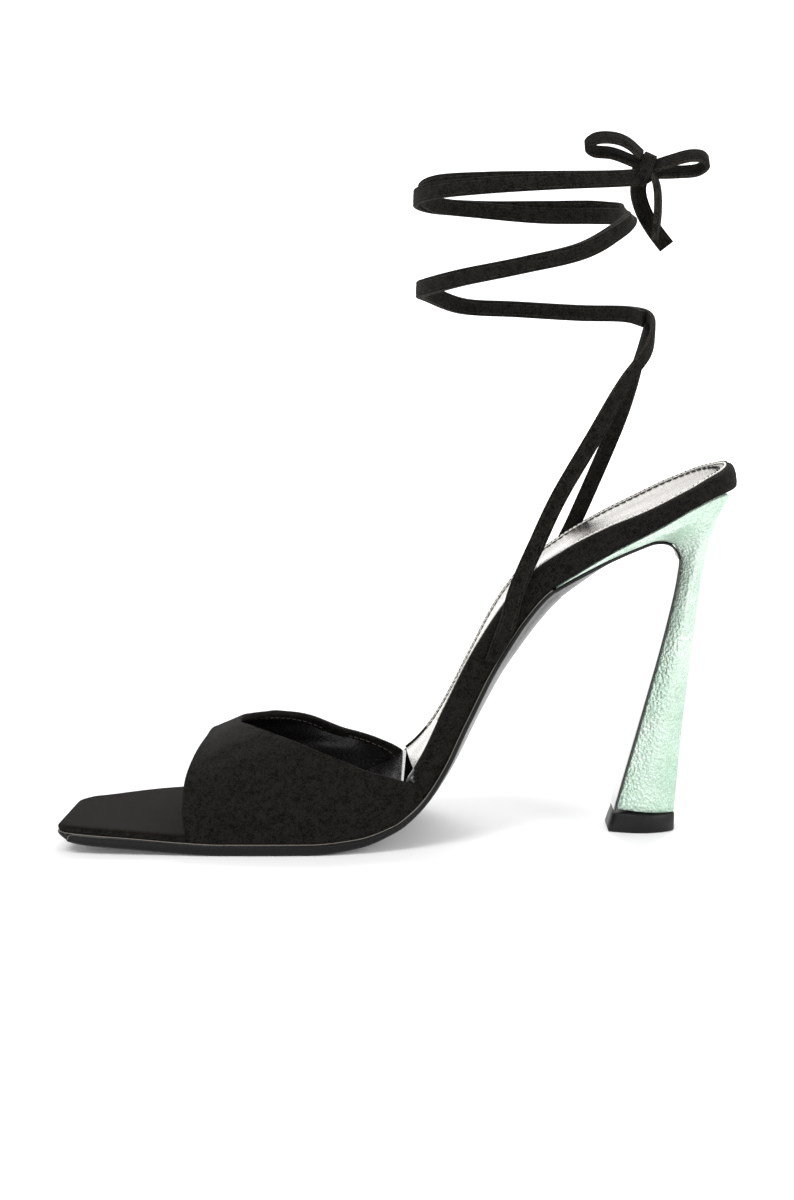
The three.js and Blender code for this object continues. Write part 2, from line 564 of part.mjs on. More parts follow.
// Where the wraps go round the ankle. turn: degrees from the back, towards the lateral side.
// up: height of the outer strap. over: how far the inner strap stands above it, in strap widths.
// reach: distance from the ankle's middle, as shares of half the wrap's depth.
const WRAPS = [
  { turn: -22, up: 0.747, over: 0, reach: 1.12 },
  { turn: -6, up: 0.776, over: 0, reach: 1.12 },
  { turn: 10, up: 0.793, over: 0, reach: 1.12 },
  { turn: 30, up: 0.799, over: 0, reach: 1.11 },
  { turn: 60, up: 0.799, over: 0, reach: 1.08 },
  { turn: 93, up: 0.804, over: 0, reach: 1.04 },
  { turn: 125, up: 0.81, over: 0, reach: 1 },
  { turn: 156, up: 0.831, over: 0, reach: 0.98 },
  { turn: 180, up: 0.839, over: 0, reach: 0.975 },
  { turn: 203, up: 0.846, over: 0, reach: 0.975 },
  { turn: 230, up: 0.86, over: 0, reach: 0.96 },
  { turn: 265, up: 0.879, over: 0, reach: 0.94 },
  { turn: 298, up: 0.899, over: 0, reach: 0.92 },
  { turn: 325, up: 0.925, over: 0, reach: 0.91 },
  { turn: 352, up: 0.944, over: -0.1, reach: 0.91 },
  { turn: 378, up: 0.956, over: -0.3, reach: 0.91 },
  { turn: 404, up: 0.961, over: -0.45, reach: 0.92 },
  { turn: 440, up: 0.961, over: -0.42, reach: 0.95 },
  { turn: 475, up: 0.961, over: -0.1, reach: 0.97 },
  { turn: 510, up: 0.966, over: 0.05, reach: 0.99 },
  { turn: 540, up: 0.976, over: 0.3, reach: 1 },
  { turn: 570, up: 0.986, over: 0.45, reach: 1 },
  { turn: 606, up: 0.994, over: 0.3, reach: 1 },
  { turn: 640, up: 1, over: 0.1, reach: 1 },
  { turn: 675, up: 1.004, over: 0, reach: 1 },
  { turn: 697.6, up: 1.007, over: 0, reach: 1.075 },
];
const ANKLE_X = lastX({ at: 0.687 });

function wrapPoint(row, inwards, over) {
  const turn = row.turn * DEGREE;
  const reach = (row.reach * WRAP_DEPTH) / 2 - inwards;
  const x = ANKLE_X + reach * Math.cos(turn);
  const y = (WRAP_WIDTH / 2 - inwards) * Math.sin(turn);
  return new THREE.Vector3(x, y, row.up * WRAP_HEIGHT + over * row.over * STRAP_WIDTH);
}

const fromAnkle = (point) => {
  const x = (point.x - ANKLE_X) / WRAP_DEPTH ** 2;
  return new THREE.Vector3(x, point.y / WRAP_WIDTH ** 2, 0).normalize();
};

// A rising strap lies flat on the footbed's side and turns to lie on the ankle further up.
const risingFace = (side) => (point) => {
  const turned = THREE.MathUtils.smoothstep(point.z, 0.57 * WRAP_HEIGHT, 0.75 * WRAP_HEIGHT);
  return new THREE.Vector3(0, side, 0).lerp(fromAnkle(point), turned).normalize();
};

// The straps' way from the footbed up to the back of the ankle, as shares of the way along X and Z,
// and how far out they stand, from the footbed's side (1) to their upper end (0).
const MEDIAL_RISE = [
  { back: 0, up: 0, out: 1 },
  { back: 0.055, up: 0.08, out: 1 },
  { back: 0.105, up: 0.152, out: 1.01 },
  { back: 0.135, up: 0.217, out: 1.01 },
  { back: 0.19, up: 0.29, out: 0.98 },
  { back: 0.28, up: 0.39, out: 0.91 },
  { back: 0.412, up: 0.53, out: 0.79 },
  { back: 0.652, up: 0.731, out: 0.53 },
  { back: 0.865, up: 0.912, out: 0.23 },
];
const LATERAL_RISE = [
  { back: 0, up: 0, out: 0.995 },
  { back: 0.0495, up: 0.057, out: 1 },
  { back: 0.122, up: 0.116, out: 1.02 },
  { back: 0.2145, up: 0.182, out: 1 },
  { back: 0.363, up: 0.308, out: 0.85 },
  { back: 0.644, up: 0.56, out: 0.56 },
  { back: 0.772, up: 0.686, out: 0.42 },
  { back: 0.878, up: 0.805, out: 0.28 },
  { back: 0.95, up: 0.912, out: 0.14 },
  { back: 1, up: 1, out: 0 },
];

function rise(rows, side, rootAt, rootLift, top) {
  const rootX = TOE_X + rootAt * SHOE_LENGTH;
  const widest = halfOn(side, rootX - STRAP_WIDTH / 2);
  const rootY = side * (widest + FIT_GAP + STRAP_THICKNESS / 2);
  const root = onLast(rootX, rootY, rootLift);
  return rows.map((row) => new THREE.Vector3(
    THREE.MathUtils.lerp(root.x, top.x, row.back),
    THREE.MathUtils.lerp(top.y, rootY, row.out),
    THREE.MathUtils.lerp(root.z, top.z, row.up),
  ));
}

// The bow's knot, in which the wraps end.
const knotMiddle = new THREE.Vector3(lastX({ at: 0.8505 }), -0.19 * WRAP_WIDTH, 1.019 * WRAP_HEIGHT);
function makeKnot(clearance) {
  const knot = new THREE.SphereGeometry(1, 14, 10);
  knot.scale(
    0.75 * STRAP_WIDTH + clearance,
    0.58 * STRAP_WIDTH + clearance,
    0.87 * STRAP_WIDTH + clearance,
  );
  return knot.translate(knotMiddle.x, knotMiddle.y, knotMiddle.z);
}

// The room under the footbed's band, which ends the straps along the sole's edge.
function belowBand() {
  const reach = 10;
  const stations = rearStations.filter((station) => station.x > lastX({ at: 0.58 }));
  return loft(stations.map(({ x }) => {
    const wide = halfOn(LATERAL, x) + reach;
    return [
      onLast(x, -wide, 0),
      onLast(x, wide, 0),
      onLast(x, wide, -reach),
      onLast(x, -wide, -reach),
    ];
  }));
}

function makeAnkleStraps() {
  const lap = 0.2;
  const outerWrap = WRAPS.map((row) => wrapPoint(row, 0, 0));
  const innerRows = WRAPS.filter((row) => row.turn > 0);
  const innerWrap = innerRows.map((row) => wrapPoint(row, STRAP_THICKNESS - lap, 1));
  const medialRise = rise(MEDIAL_RISE, MEDIAL, 0.648, 0.9, outerWrap[0]);
  const backOfAnkle = wrapPoint({ turn: 2, up: 0.782, reach: 1.12, over: 0 }, STRAP_THICKNESS - lap, 0);
  const lateralRise = rise(LATERAL_RISE, LATERAL, 0.7285, -0.5, backOfAnkle);
  const straps = joined([
    ribbon(smooth([...medialRise, ...outerWrap]), risingFace(MEDIAL), 130),
    ribbon(smooth(lateralRise), risingFace(LATERAL), 26),
    ribbon(smooth(innerWrap), fromAnkle, 96),
  ]);
  return toGeometry(toSolid(straps).subtract(toSolid(makeKnot(FIT_GAP))).subtract(toSolid(belowBand())));
}

// Bow at the back of the ankle, on the medial side: a knot, two loops and two free ends.
// Each loop bends round an axis that leans from Y towards Z, so that its face shows from the side.
const BOW_LEAN = 38 * DEGREE;
const bowAcross = new THREE.Vector3(0, Math.cos(BOW_LEAN), Math.sin(BOW_LEAN));
const bowUp = new THREE.Vector3(0, -Math.sin(BOW_LEAN), Math.cos(BOW_LEAN));
// along: shares of half the bow's length. up: shares of the bow's height. lift: plain rise in Z.
const FRONT_LOOP = [
  { along: -0.05, up: 0.08, lift: 0.36 },
  { along: -0.28, up: 0.35, lift: 0.52 },
  { along: -0.5, up: 0.42, lift: 0.62 },
  { along: -0.78, up: 0.32, lift: 0.68 },
  { along: -0.905, up: 0, lift: 0.73 },
  { along: -0.8, up: -0.3, lift: 0.8 },
  { along: -0.5, up: -0.32, lift: 0.74 },
  { along: -0.05, up: -0.08, lift: 0.2 },
];
const BACK_LOOP = [
  { along: 0.05, up: 0.08, lift: -0.05 },
  { along: 0.4, up: 0.34, lift: -0.02 },
  { along: 0.72, up: 0.39, lift: 0.1 },
  { along: 0.91, up: 0.25, lift: 0.17 },
  { along: 0.98, up: -0.04, lift: 0.22 },
  { along: 0.86, up: -0.3, lift: 0.22 },
  { along: 0.5, up: -0.3, lift: 0.14 },
  { along: 0.05, up: -0.08, lift: -0.05 },
];
// Free ends. along: shares of half the bow's length. out: millimetres in Y. down: shares of the tail.
const BACK_TAIL = [
  { along: -0.02, out: 1.5, down: 0 },
  { along: -0.08, out: 3, down: 0.3 },
  { along: 0, out: 3, down: 0.58 },
  { along: 0.17, out: 2.6, down: 0.85 },
  { along: 0.38, out: 2, down: 1.1 },
];
const FRONT_TAIL = [
  { along: 0.1, out: -1, down: 0 },
  { along: 0.19, out: -2, down: 0.25 },
  { along: 0.21, out: -2.2, down: 0.6 },
  { along: 0.17, out: -1.8, down: 1 },
];

function loopPath(rows) {
  return smooth(rows.map((row) => {
    const point = knotMiddle.clone();
    point.x += (row.along * BOW_LENGTH) / 2;
    point.addScaledVector(bowUp, row.up * BOW_HEIGHT);
    point.z += row.lift * BOW_HEIGHT;
    return point;
  }));
}

function tailPath(rows) {
  return smooth(rows.map((row) => new THREE.Vector3(
    knotMiddle.x + (row.along * BOW_LENGTH) / 2,
    knotMiddle.y + row.out,
    knotMiddle.z - row.down * TAIL_LENGTH,
  )));
}

function makeBow() {
  const loopFace = (path) => (point, s) => new THREE.Vector3().crossVectors(bowAcross, path.getTangentAt(s));
  const front = loopPath(FRONT_LOOP);
  const back = loopPath(BACK_LOOP);
  const turned = (x) => () => new THREE.Vector3(x, -1, 0);
  return joined([
    makeKnot(0),
    ribbon(front, loopFace(front), 26),
    ribbon(back, loopFace(back), 26),
    ribbon(tailPath(BACK_TAIL), turned(0.3), 12),
    ribbon(tailPath(FRONT_TAIL), turned(3), 10),
  ]);
}

const suede = { color: 0x1d1c1a, roughness: 0.95, metalness: 0 };
const soleLeather = { color: 0x0e0e0e, roughness: 0.28, metalness: 0 };
const silverLeather = { color: 0xd9d5d0, roughness: 0.35, metalness: 0.5 };
const mintLeather = { color: 0xbfe6cf, roughness: 0.38, metalness: 0.55 };
const hardRubber = { color: 0x121212, roughness: 0.5, metalness: 0 };

const sandal = new THREE.Group();
function addPiece(name, geometry, look) {
  const mesh = new THREE.Mesh(geometry, new THREE.MeshStandardMaterial(look));
  mesh.name = name;
  geometry.computeVertexNormals();
  sandal.add(mesh);
}

addPiece("outsole", makeOutsole(), soleLeather);
addPiece("footbed", makeFootbed(), suede);
addPiece("insole_sock", makeSock(), silverLeather);
addPiece("vamp", makeVamp(), suede);
addPiece("ankle_straps", makeAnkleStraps(), suede);
addPiece("bow", makeBow(), suede);
addPiece("heel", makeHeel(), mintLeather);
addPiece("top_piece", makeTopPiece(), hardRubber);

const centre = new THREE.Box3().setFromObject(sandal).getCenter(new THREE.Vector3());
sandal.position.set(-centre.x, -centre.y, 0);

const part = new THREE.Group();
part.add(sandal);
export default part;
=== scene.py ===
"""A black suede wrap sandal with a mint metallic heel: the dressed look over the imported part.

Sizes are worked out in millimetres, in the frame of the part's own tables, and become metres in the meshes.
"""

import math

import bpy
import numpy as np
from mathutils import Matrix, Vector


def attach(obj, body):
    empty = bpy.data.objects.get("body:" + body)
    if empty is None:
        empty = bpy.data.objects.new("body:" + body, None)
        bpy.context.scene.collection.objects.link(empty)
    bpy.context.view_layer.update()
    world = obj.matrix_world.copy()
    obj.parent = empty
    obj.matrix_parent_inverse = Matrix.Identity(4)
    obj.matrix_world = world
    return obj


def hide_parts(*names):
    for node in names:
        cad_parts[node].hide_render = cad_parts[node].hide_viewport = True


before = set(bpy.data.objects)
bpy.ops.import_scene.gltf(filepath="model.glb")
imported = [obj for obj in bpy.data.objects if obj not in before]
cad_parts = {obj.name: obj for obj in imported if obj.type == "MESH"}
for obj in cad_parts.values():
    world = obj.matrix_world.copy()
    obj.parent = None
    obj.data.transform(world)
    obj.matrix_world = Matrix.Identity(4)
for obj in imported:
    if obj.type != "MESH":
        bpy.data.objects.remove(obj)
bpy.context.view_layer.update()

# The part's own sizes, in millimetres
LENGTH, BALL, WAIST, SEAT = 219, 79.4, 49, 49.2
SEAT_LIFT, TOE_SPRING, TOE_CORNER, TOE_SKEW, SEAT_ROUND = 109.8, 3.5, 4, 0.085, 26
SOLE, BOARD_FRONT, BAND, BED_DISH, SOCK, SOCK_INSET = 3.6, 2.4, 8.4, 0.8, 0.8, 3.3
VAMP_HEIGHT, VAMP_WALL, GAP = 35, 2, 0.3
STRAP_WIDTH, STRAP_THICKNESS = 5.3, 1.7
WRAP_DEPTH, WRAP_WIDTH, WRAP_HEIGHT = 72, 62, 211
BOW_LENGTH, BOW_HEIGHT, TAIL_LENGTH = 40, 10, 22
TIP_THICKNESS, BOTTOM_LENGTH, BOTTOM_WIDTH, NECK_WIDTH = 6.2, 19.2, 20.4, 18.6
TOE_X, BACK_X, BASE = -LENGTH / 2, LENGTH / 2, SOLE + GAP
# The part in model.glb is centred on its box, which moves it by this much.
SHIFT = np.array([-0.025, -0.004, 0.0])
MEDIAL, LATERAL = -1, 1

# The last. at, toe spring, rise, width, medial, lateral, bed, bank, edge, belly
LAST = np.array([
    (0.0, 1, 0, BALL, 0.451, 0.019, 0, 0, 0.3, 0.4),
    (0.009, 0.95, 0, BALL, 0.457, 0.045, 0, 0, 0.5, 0.7),
    (0.021, 0.88, 0, BALL, 0.462, 0.083, 0, 0, 0.82, 0.95),
    (0.048, 0.74, 0, BALL, 0.471, 0.141, 0, 0, 0.97, 1),
    (0.085, 0.6, 0, BALL, 0.479, 0.217, 0, 0, 1, 1),
    (0.13, 0.4, 0, BALL, 0.485, 0.317, 0, 0, 1, 1),
    (0.178, 0.17, 0, BALL, 0.491, 0.403, 0, 0, 1, 1),
    (0.24, 0, 0, BALL, 0.499, 0.461, 0, 0, 1, 1),
    (0.304, 0, 0, BALL, 0.5, 0.489, 0, 0, 1, 1),
    (0.368, 0, 0, BALL, 0.496, 0.5, 0.12, 0, 1, 1),
    (0.435, 0, 0.01, BALL, 0.47, 0.497, 0.45, 0, 0.85, 1),
    (0.491, 0, 0.04, BALL, 0.424, 0.477, 0.8, 0.5, 0.62, 1),
    (0.516, 0, 0.0683, BALL, 0.397, 0.458, 0.92, 1.2, 0.53, 0.97),
    (0.5395, 0, 0.1093, BALL, 0.37, 0.436, 1, 2, 0.46, 0.92),
    (0.5705, 0, 0.1913, WAIST, 0.553, 0.651, 1, 3.6, 0.4, 0.84),
    (0.6053, 0, 0.3233, WAIST, 0.518, 0.592, 1, 5.2, 0.38, 0.8),
    (0.637, 0, 0.4526, WAIST, 0.504, 0.549, 1, 5.4, 0.38, 0.96),
    (0.6646, 0, 0.5546, WAIST, 0.496, 0.527, 1, 4.4, 0.37, 1.28),
    (0.687, 0, 0.6257, WAIST, 0.492, 0.514, 0.99, 3.8, 0.36, 1.45),
    (0.719, 0, 0.7013, WAIST, 0.492, 0.508, 0.99, 3.5, 0.34, 1.53),
    (0.7646, 0, 0.766, SEAT, 0.494, 0.504, 1, 2.8, 0.3, 1.2),
    (0.818, 0, 0.8343, SEAT, 0.498, 0.502, 0.87, 1.6, 0.3, 0.6),
    (0.8724, 0, 0.8962, SEAT, 0.5, 0.5, 0.68, 0.2, 0.3, 0.4),
    (0.9285, 0, 0.9581, SEAT, 0.5, 0.5, 0.57, 0, 0.3, 0.4),
    (0.9678, 0, 0.9882, SEAT, 0.5, 0.5, 0.7, 0, 0.3, 0.4),
    (1.0, 0, 1, SEAT, 0.5, 0.5, 1.03, 0, 0.3, 0.4),
])


def through(xs, ys):
    """A smooth function through numbers that never swings past them and runs on straight."""
    xs, ys = np.asarray(xs, float), np.asarray(ys, float)
    rate = np.diff(ys) / np.diff(xs)
    slope = np.r_[rate[0], np.zeros(len(xs) - 2), rate[-1]]
    for i in range(1, len(xs) - 1):
        if rate[i - 1] * rate[i] > 0:
            slope[i] = 2 * rate[i - 1] * rate[i] / (rate[i - 1] + rate[i])

    def at(x):
        x = np.asarray(x, float)
        inside = np.clip(x, xs[0], xs[-1])
        i = np.clip(np.searchsorted(xs, inside) - 1, 0, len(xs) - 2)
        span, rise = xs[i + 1] - xs[i], ys[i + 1] - ys[i]
        s = (inside - xs[i]) / span
        bend = s * (1 - s) * (span * ((1 - s) * slope[i] - s * slope[i + 1]) + rise * (2 * s - 1))
        return ys[i] + s * rise + bend + (x - inside) * np.where(inside > xs[0], slope[-1], slope[0])

    return at


def ease(x, low, high):
    """0 up to low, 1 from high on, and a soft step between."""
    t = np.clip((np.asarray(x, float) - low) / (high - low), 0, 1)
    return t * t * (3 - 2 * t)


def unit(v):
    return v / np.maximum(np.linalg.norm(v, axis=-1, keepdims=True), 1e-9)


last_x = TOE_X + LAST[:, 0] * LENGTH
medial_half = through(last_x, LAST[:, 4] * LAST[:, 3])
lateral_half = through(last_x, LAST[:, 5] * LAST[:, 3])
board = through(last_x, BASE + LAST[:, 1] * TOE_SPRING + LAST[:, 2] * SEAT_LIFT)
bed_thickness = through(last_x, BOARD_FRONT + LAST[:, 6] * (BAND - BOARD_FRONT))
bank = through(last_x, np.radians(LAST[:, 7]))
sole_edge = through(last_x, LAST[:, 8] * SOLE)
sole_belly = through(last_x, LAST[:, 9] * SOLE)


def half_on(side, x):
    """The last's half width on one side."""
    return medial_half(x) if side == MEDIAL else lateral_half(x)


def on_last(x, y, lift):
    """A point of the last: x along it, y across it, and lift above the board's underside."""
    angle = np.arctan(board(x + 0.5) - board(x - 0.5))
    up = lift - y * np.tan(bank(x))
    skew = TOE_SKEW * (1 - ease(x - TOE_X, 0, TOE_CORNER * 6))
    along = x - np.sin(angle) * up + skew * (y + medial_half(x))
    return np.stack(np.broadcast_arrays(along, y, board(x) + np.cos(angle) * up), -1)


seat_start = BACK_X - SEAT_ROUND
SOCK_FRONT_X = TOE_X + 0.534 * LENGTH


def body_stations(from_x, to_x, count):
    """Places along x that are evenly spaced on the board's curve."""
    x = np.linspace(from_x, to_x, 2000)
    z = board(x)
    way = np.r_[0, np.cumsum(np.hypot(np.diff(x), np.diff(z)))]
    return np.interp(np.linspace(0, way[-1], count), way, x)


# How far a section's end may pass the middle line, and over what length the toe's inset fades out.
PAST_MIDDLE, INSET_FADE = -3.0, 20


class Sections:
    """Sections across the last: a round toe corner, the body and a round seat."""

    def __init__(self, toe, body, seat):
        self.toe, self.body, self.seat = np.radians(toe), np.asarray(body), np.radians(seat)

    def rim(self, side, inset):
        """x and y of one side's line, drawn in by inset."""
        toe_x = TOE_X + inset + TOE_CORNER * (1 - np.cos(self.toe))
        toe_y = half_on(side, toe_x) - inset - TOE_CORNER * (1 - np.sin(self.toe))
        toe_y = np.maximum(toe_y, PAST_MIDDLE)
        fade = 1 - ease(self.body, TOE_X + TOE_CORNER, TOE_X + TOE_CORNER + INSET_FADE)
        body_x = self.body + inset * fade
        body_y = half_on(side, body_x) - inset
        seat_x = seat_start + (BACK_X + 0.3 - inset - seat_start) * np.sin(self.seat)
        seat_y = (half_on(side, seat_start) - inset) * np.cos(self.seat)
        return np.r_[toe_x, body_x, seat_x], side * np.r_[toe_y, body_y, seat_y]


class Curve:
    """A centripetal Catmull-Rom line through points."""

    def __init__(self, points):
        self.p = np.asarray(points, float)
        self.ends = np.vstack([2 * self.p[0] - self.p[1], self.p, 2 * self.p[-1] - self.p[-2]])
        self.d = np.sqrt(np.linalg.norm(np.diff(self.ends, axis=0), axis=1))

    def at(self, s):
        t = np.clip(np.asarray(s, float), 0, 1) * (len(self.p) - 1)
        i = np.clip(np.floor(t).astype(int), 0, len(self.p) - 2)
        w = (t - i)[:, None]
        x0, x1, x2, x3 = (self.ends[i + k] for k in range(4))
        d0, d1, d2 = (self.d[i + k][:, None] for k in range(3))
        t1 = ((x1 - x0) / d0 - (x2 - x0) / (d0 + d1) + (x2 - x1) / d1) * d1
        t2 = ((x2 - x1) / d1 - (x3 - x1) / (d1 + d2) + (x3 - x2) / d2) * d1
        return x1 + t1 * w + (3 * (x2 - x1) - 2 * t1 - t2) * w**2 + (2 * (x1 - x2) + t1 + t2) * w**3

    def even(self, count):
        """So many points at even distances."""
        fine = self.at(np.linspace(0, 1, 60 * len(self.p)))
        way = np.r_[0, np.cumsum(np.linalg.norm(np.diff(fine, axis=0), axis=1))]
        at = np.linspace(0, way[-1], count)
        return np.stack([np.interp(at, way, fine[:, k]) for k in range(3)], -1)


def directions(points):
    return unit(np.gradient(points, axis=0))


# Meshes


def put(name, data):
    """A new object in the scene."""
    made = bpy.data.objects.new(name, data)
    bpy.context.scene.collection.objects.link(made)
    return made


def mesh_object(name, points, faces, materials, which=None):
    """A smooth piece in metres. which gives each face's material."""
    mesh = bpy.data.meshes.new(name)
    mesh.from_pydata(((np.asarray(points) + SHIFT) / 1000).tolist(), [], faces)
    for made in materials:
        mesh.materials.append(made)
    if which is not None:
        mesh.polygons.foreach_set("material_index", which)
    mesh.polygons.foreach_set("use_smooth", [True] * len(mesh.polygons))
    mesh.validate()
    mesh.update()
    return put(name, mesh)


def volume_of(points, faces):
    """Six times the volume inside the faces, negative where they look inwards."""
    total = 0.0
    for face in faces:
        for k in range(1, len(face) - 1):
            total += np.dot(points[face[0]], np.cross(points[face[k]], points[face[k + 1]]))
    return total


def loft(rings, ends="fan"):
    """Faces of a closed body through rings, an array of sections by points by 3."""
    rings = np.asarray(rings, float)
    count, across = rings.shape[:2]
    points = rings.reshape(-1, 3)
    last = (count - 1) * across
    faces = []
    for r in range(0, last, across):
        for k in range(across):
            n = (k + 1) % across
            faces.append((r + k, r + n, r + across + n, r + across + k))
    if ends == "fan":
        points = np.vstack([points, rings[0].mean(0), rings[-1].mean(0)])
        for k in range(across):
            n = (k + 1) % across
            faces.append((n, k, len(points) - 2))
            faces.append((last + k, last + n, len(points) - 1))
    else:
        for start, turned in ((0, True), (last, False)):
            for k in range(across // 2 - 1):
                face = (start + k, start + k + 1, start + across - 2 - k, start + across - 1 - k)
                if face[1] == face[2]:
                    face = (face[0], face[1], face[3])
                faces.append(face[::-1] if turned else face)
    if volume_of(points, faces) < 0:
        faces = [face[::-1] for face in faces]
    return points, faces


def merged(parts):
    """Several meshes' points and faces as one."""
    points, faces, base = [], [], 0
    for some_points, some_faces in parts:
        points.append(some_points)
        faces += [tuple(i + base for i in face) for face in some_faces]
        base += len(some_points)
    return np.vstack(points), faces


def creased(points, outward, rows):
    """Soft troughs with low ridges beside them. rows: from, to, width, depth."""
    points = points.copy()
    for start, end, width, depth in rows:
        a, b = np.array(start, float), np.array(end, float)
        share = np.clip((points - a) @ (b - a) / np.dot(b - a, b - a), 0, 1)
        away = np.linalg.norm(points - a - share[..., None] * (b - a), axis=-1) / width
        dip = np.exp(-(away**2)) - 0.5 * np.exp(-((away - 1.9) ** 2))
        points -= outward * (depth * dip)[..., None]
    return points


def tube(path, radius, sides=8):
    """A thin round cord along a path."""
    tangent = directions(path)
    side = unit(np.cross(tangent, np.array([0.3, 0.2, 1.0])))
    other = np.cross(side, tangent)
    a = np.linspace(0, 2 * np.pi, sides, endpoint=False)
    rings = path[:, None] + radius * (
        side[:, None] * np.cos(a)[None, :, None] + other[:, None] * np.sin(a)[None, :, None]
    )
    return loft(rings)


def stitches(path, normal, pitch, share, radius, sink=0.0):
    """Short threads along a path, each dipping into the leather at its ends."""
    bends = 6
    way = np.r_[0, np.cumsum(np.linalg.norm(np.diff(path, axis=0), axis=1))]
    count = int(way[-1] // pitch)
    parts = []
    for k in range(count):
        at = (k + 0.5 - share / 2 + share * np.linspace(0, 1, bends)) * pitch
        line = np.stack([np.interp(at, way, path[:, j]) for j in range(3)], -1)
        up = np.stack([np.interp(at, way, normal[:, j]) for j in range(3)], -1)
        arch = np.sin(np.linspace(0, 1, bends) * np.pi)[:, None] ** 0.5
        parts.append(tube(line + unit(up) * (arch * radius * 0.9 - radius * 0.7 - sink), radius, 6))
    return merged(parts)


# Materials


def material(name, **values):
    """A new material, its node tree and its shader with these values."""
    made = bpy.data.materials.new(name)
    made.use_nodes = True
    shader = made.node_tree.nodes["Principled BSDF"]
    for key, value in values.items():
        shader.inputs[key.replace("_", " ").title().replace("Ior", "IOR")].default_value = value
    return made, made.node_tree, shader


def rgb(r, g, b):
    """A colour in linear light, from 0 to 255 as on a screen."""
    def linear(c):
        c /= 255
        return c / 12.92 if c <= 0.04045 else ((c + 0.055) / 1.055) ** 2.4

    return (linear(r), linear(g), linear(b), 1)


def add(tree, kind, **values):
    """A new node with its sockets or settings set."""
    node = tree.nodes.new("ShaderNode" + kind)
    for key, value in values.items():
        if key in node.inputs:
            node.inputs[key].default_value = value
        else:
            setattr(node, key, value)
    return node


def link(source, socket):
    """Feeds a node's socket."""
    socket.id_data.links.new(source, socket)


def texture(tree, kind, scale, detail=2.0, stretch=(1, 1, 1), roughness=0.5):
    """A procedural texture in the object's own metres: its output."""
    place = add(tree, "TexCoord")
    mapping = add(tree, "Mapping")
    mapping.inputs["Scale"].default_value = stretch
    link(place.outputs["Object"], mapping.inputs["Vector"])
    node = add(tree, kind)
    node.inputs["Scale"].default_value = scale
    if kind == "TexNoise":
        node.inputs["Detail"].default_value = detail
        node.inputs["Roughness"].default_value = roughness
    link(mapping.outputs["Vector"], node.inputs["Vector"])
    return node.outputs["Fac" if kind == "TexNoise" else "Distance"]


def ramp(tree, source, low, high, start=0.3, stop=0.7):
    """Two colours mixed by a value that runs from start to stop."""
    node = add(tree, "ValToRGB")
    node.color_ramp.elements[0].position, node.color_ramp.elements[1].position = start, stop
    node.color_ramp.elements[0].color, node.color_ramp.elements[1].color = low, high
    link(source, node.inputs["Fac"])
    return node.outputs["Color"]


def spread(tree, source, low, high, start=0.3, stop=0.7):
    """A value that runs from start to stop, spread from low to high."""
    node = add(tree, "MapRange")
    for key, value in (("From Min", start), ("From Max", stop), ("To Min", low), ("To Max", high)):
        node.inputs[key].default_value = value
    link(source, node.inputs["Value"])
    return node.outputs["Result"]


def bump(tree, shader, heights):
    """Bumps laid over each other: each a source, a strength and a depth in metres."""
    before = None
    for source, strength, distance in heights:
        node = add(tree, "Bump")
        node.inputs["Strength"].default_value = strength
        node.inputs["Distance"].default_value = distance
        link(source, node.inputs["Height"])
        if before is not None:
            link(before.outputs["Normal"], node.inputs["Normal"])
        before = node
    link(before.outputs["Normal"], shader.inputs["Normal"])


def make_suede(name, dark, light, sheen):
    """Napped leather: mottled nap with fine fibres over it."""
    made, tree, shader = material(
        name, specular_ior_level=0.1,
        sheen_weight=sheen, sheen_roughness=0.5, sheen_tint=(0.75, 0.72, 0.68, 1),
    )
    nap = texture(tree, "TexNoise", 420, 9, roughness=0.82)
    fibre = texture(tree, "TexNoise", 2600, 3)
    both = add(tree, "Math", operation="MULTIPLY_ADD")
    link(fibre, both.inputs[0])
    both.inputs[1].default_value = 0.9
    link(nap, both.inputs[2])
    shade = ramp(tree, both.outputs["Value"], dark, light, 0.84, 1.06)
    link(shade, shader.inputs["Base Color"])
    link(spread(tree, nap, 0.88, 1.0), shader.inputs["Roughness"])
    bump(tree, shader, [(nap, 0.6, 0.0006), (fibre, 0.8, 0.0003)])
    return made


def make_leather(name, dark, light, rough, grain, depth, reflection_streaks=None, **values):
    """Grained leather: cells of the given size in millimetres, with fine pores and slow mottling. Streaks,
    where given, stretch the slow mottling into light and dark bands that are painted reflections.
    """
    made, tree, shader = material(name, **values)
    cells = texture(tree, "TexVoronoi", 1000 / grain)
    scale, across, start, stop = reflection_streaks or (60, 1, 0.3, 0.7)
    slow = texture(tree, "TexNoise", scale, 4, (1, across, 1))
    fine = texture(tree, "TexNoise", 2200 / grain, 3)
    shade = ramp(tree, slow, dark, light, start, stop)
    link(shade, shader.inputs["Base Color"])
    link(spread(tree, fine, rough - 0.05, rough + 0.06), shader.inputs["Roughness"])
    bump(tree, shader, [(cells, 0.5, depth), (fine, 0.4, depth * 0.5)])
    return made


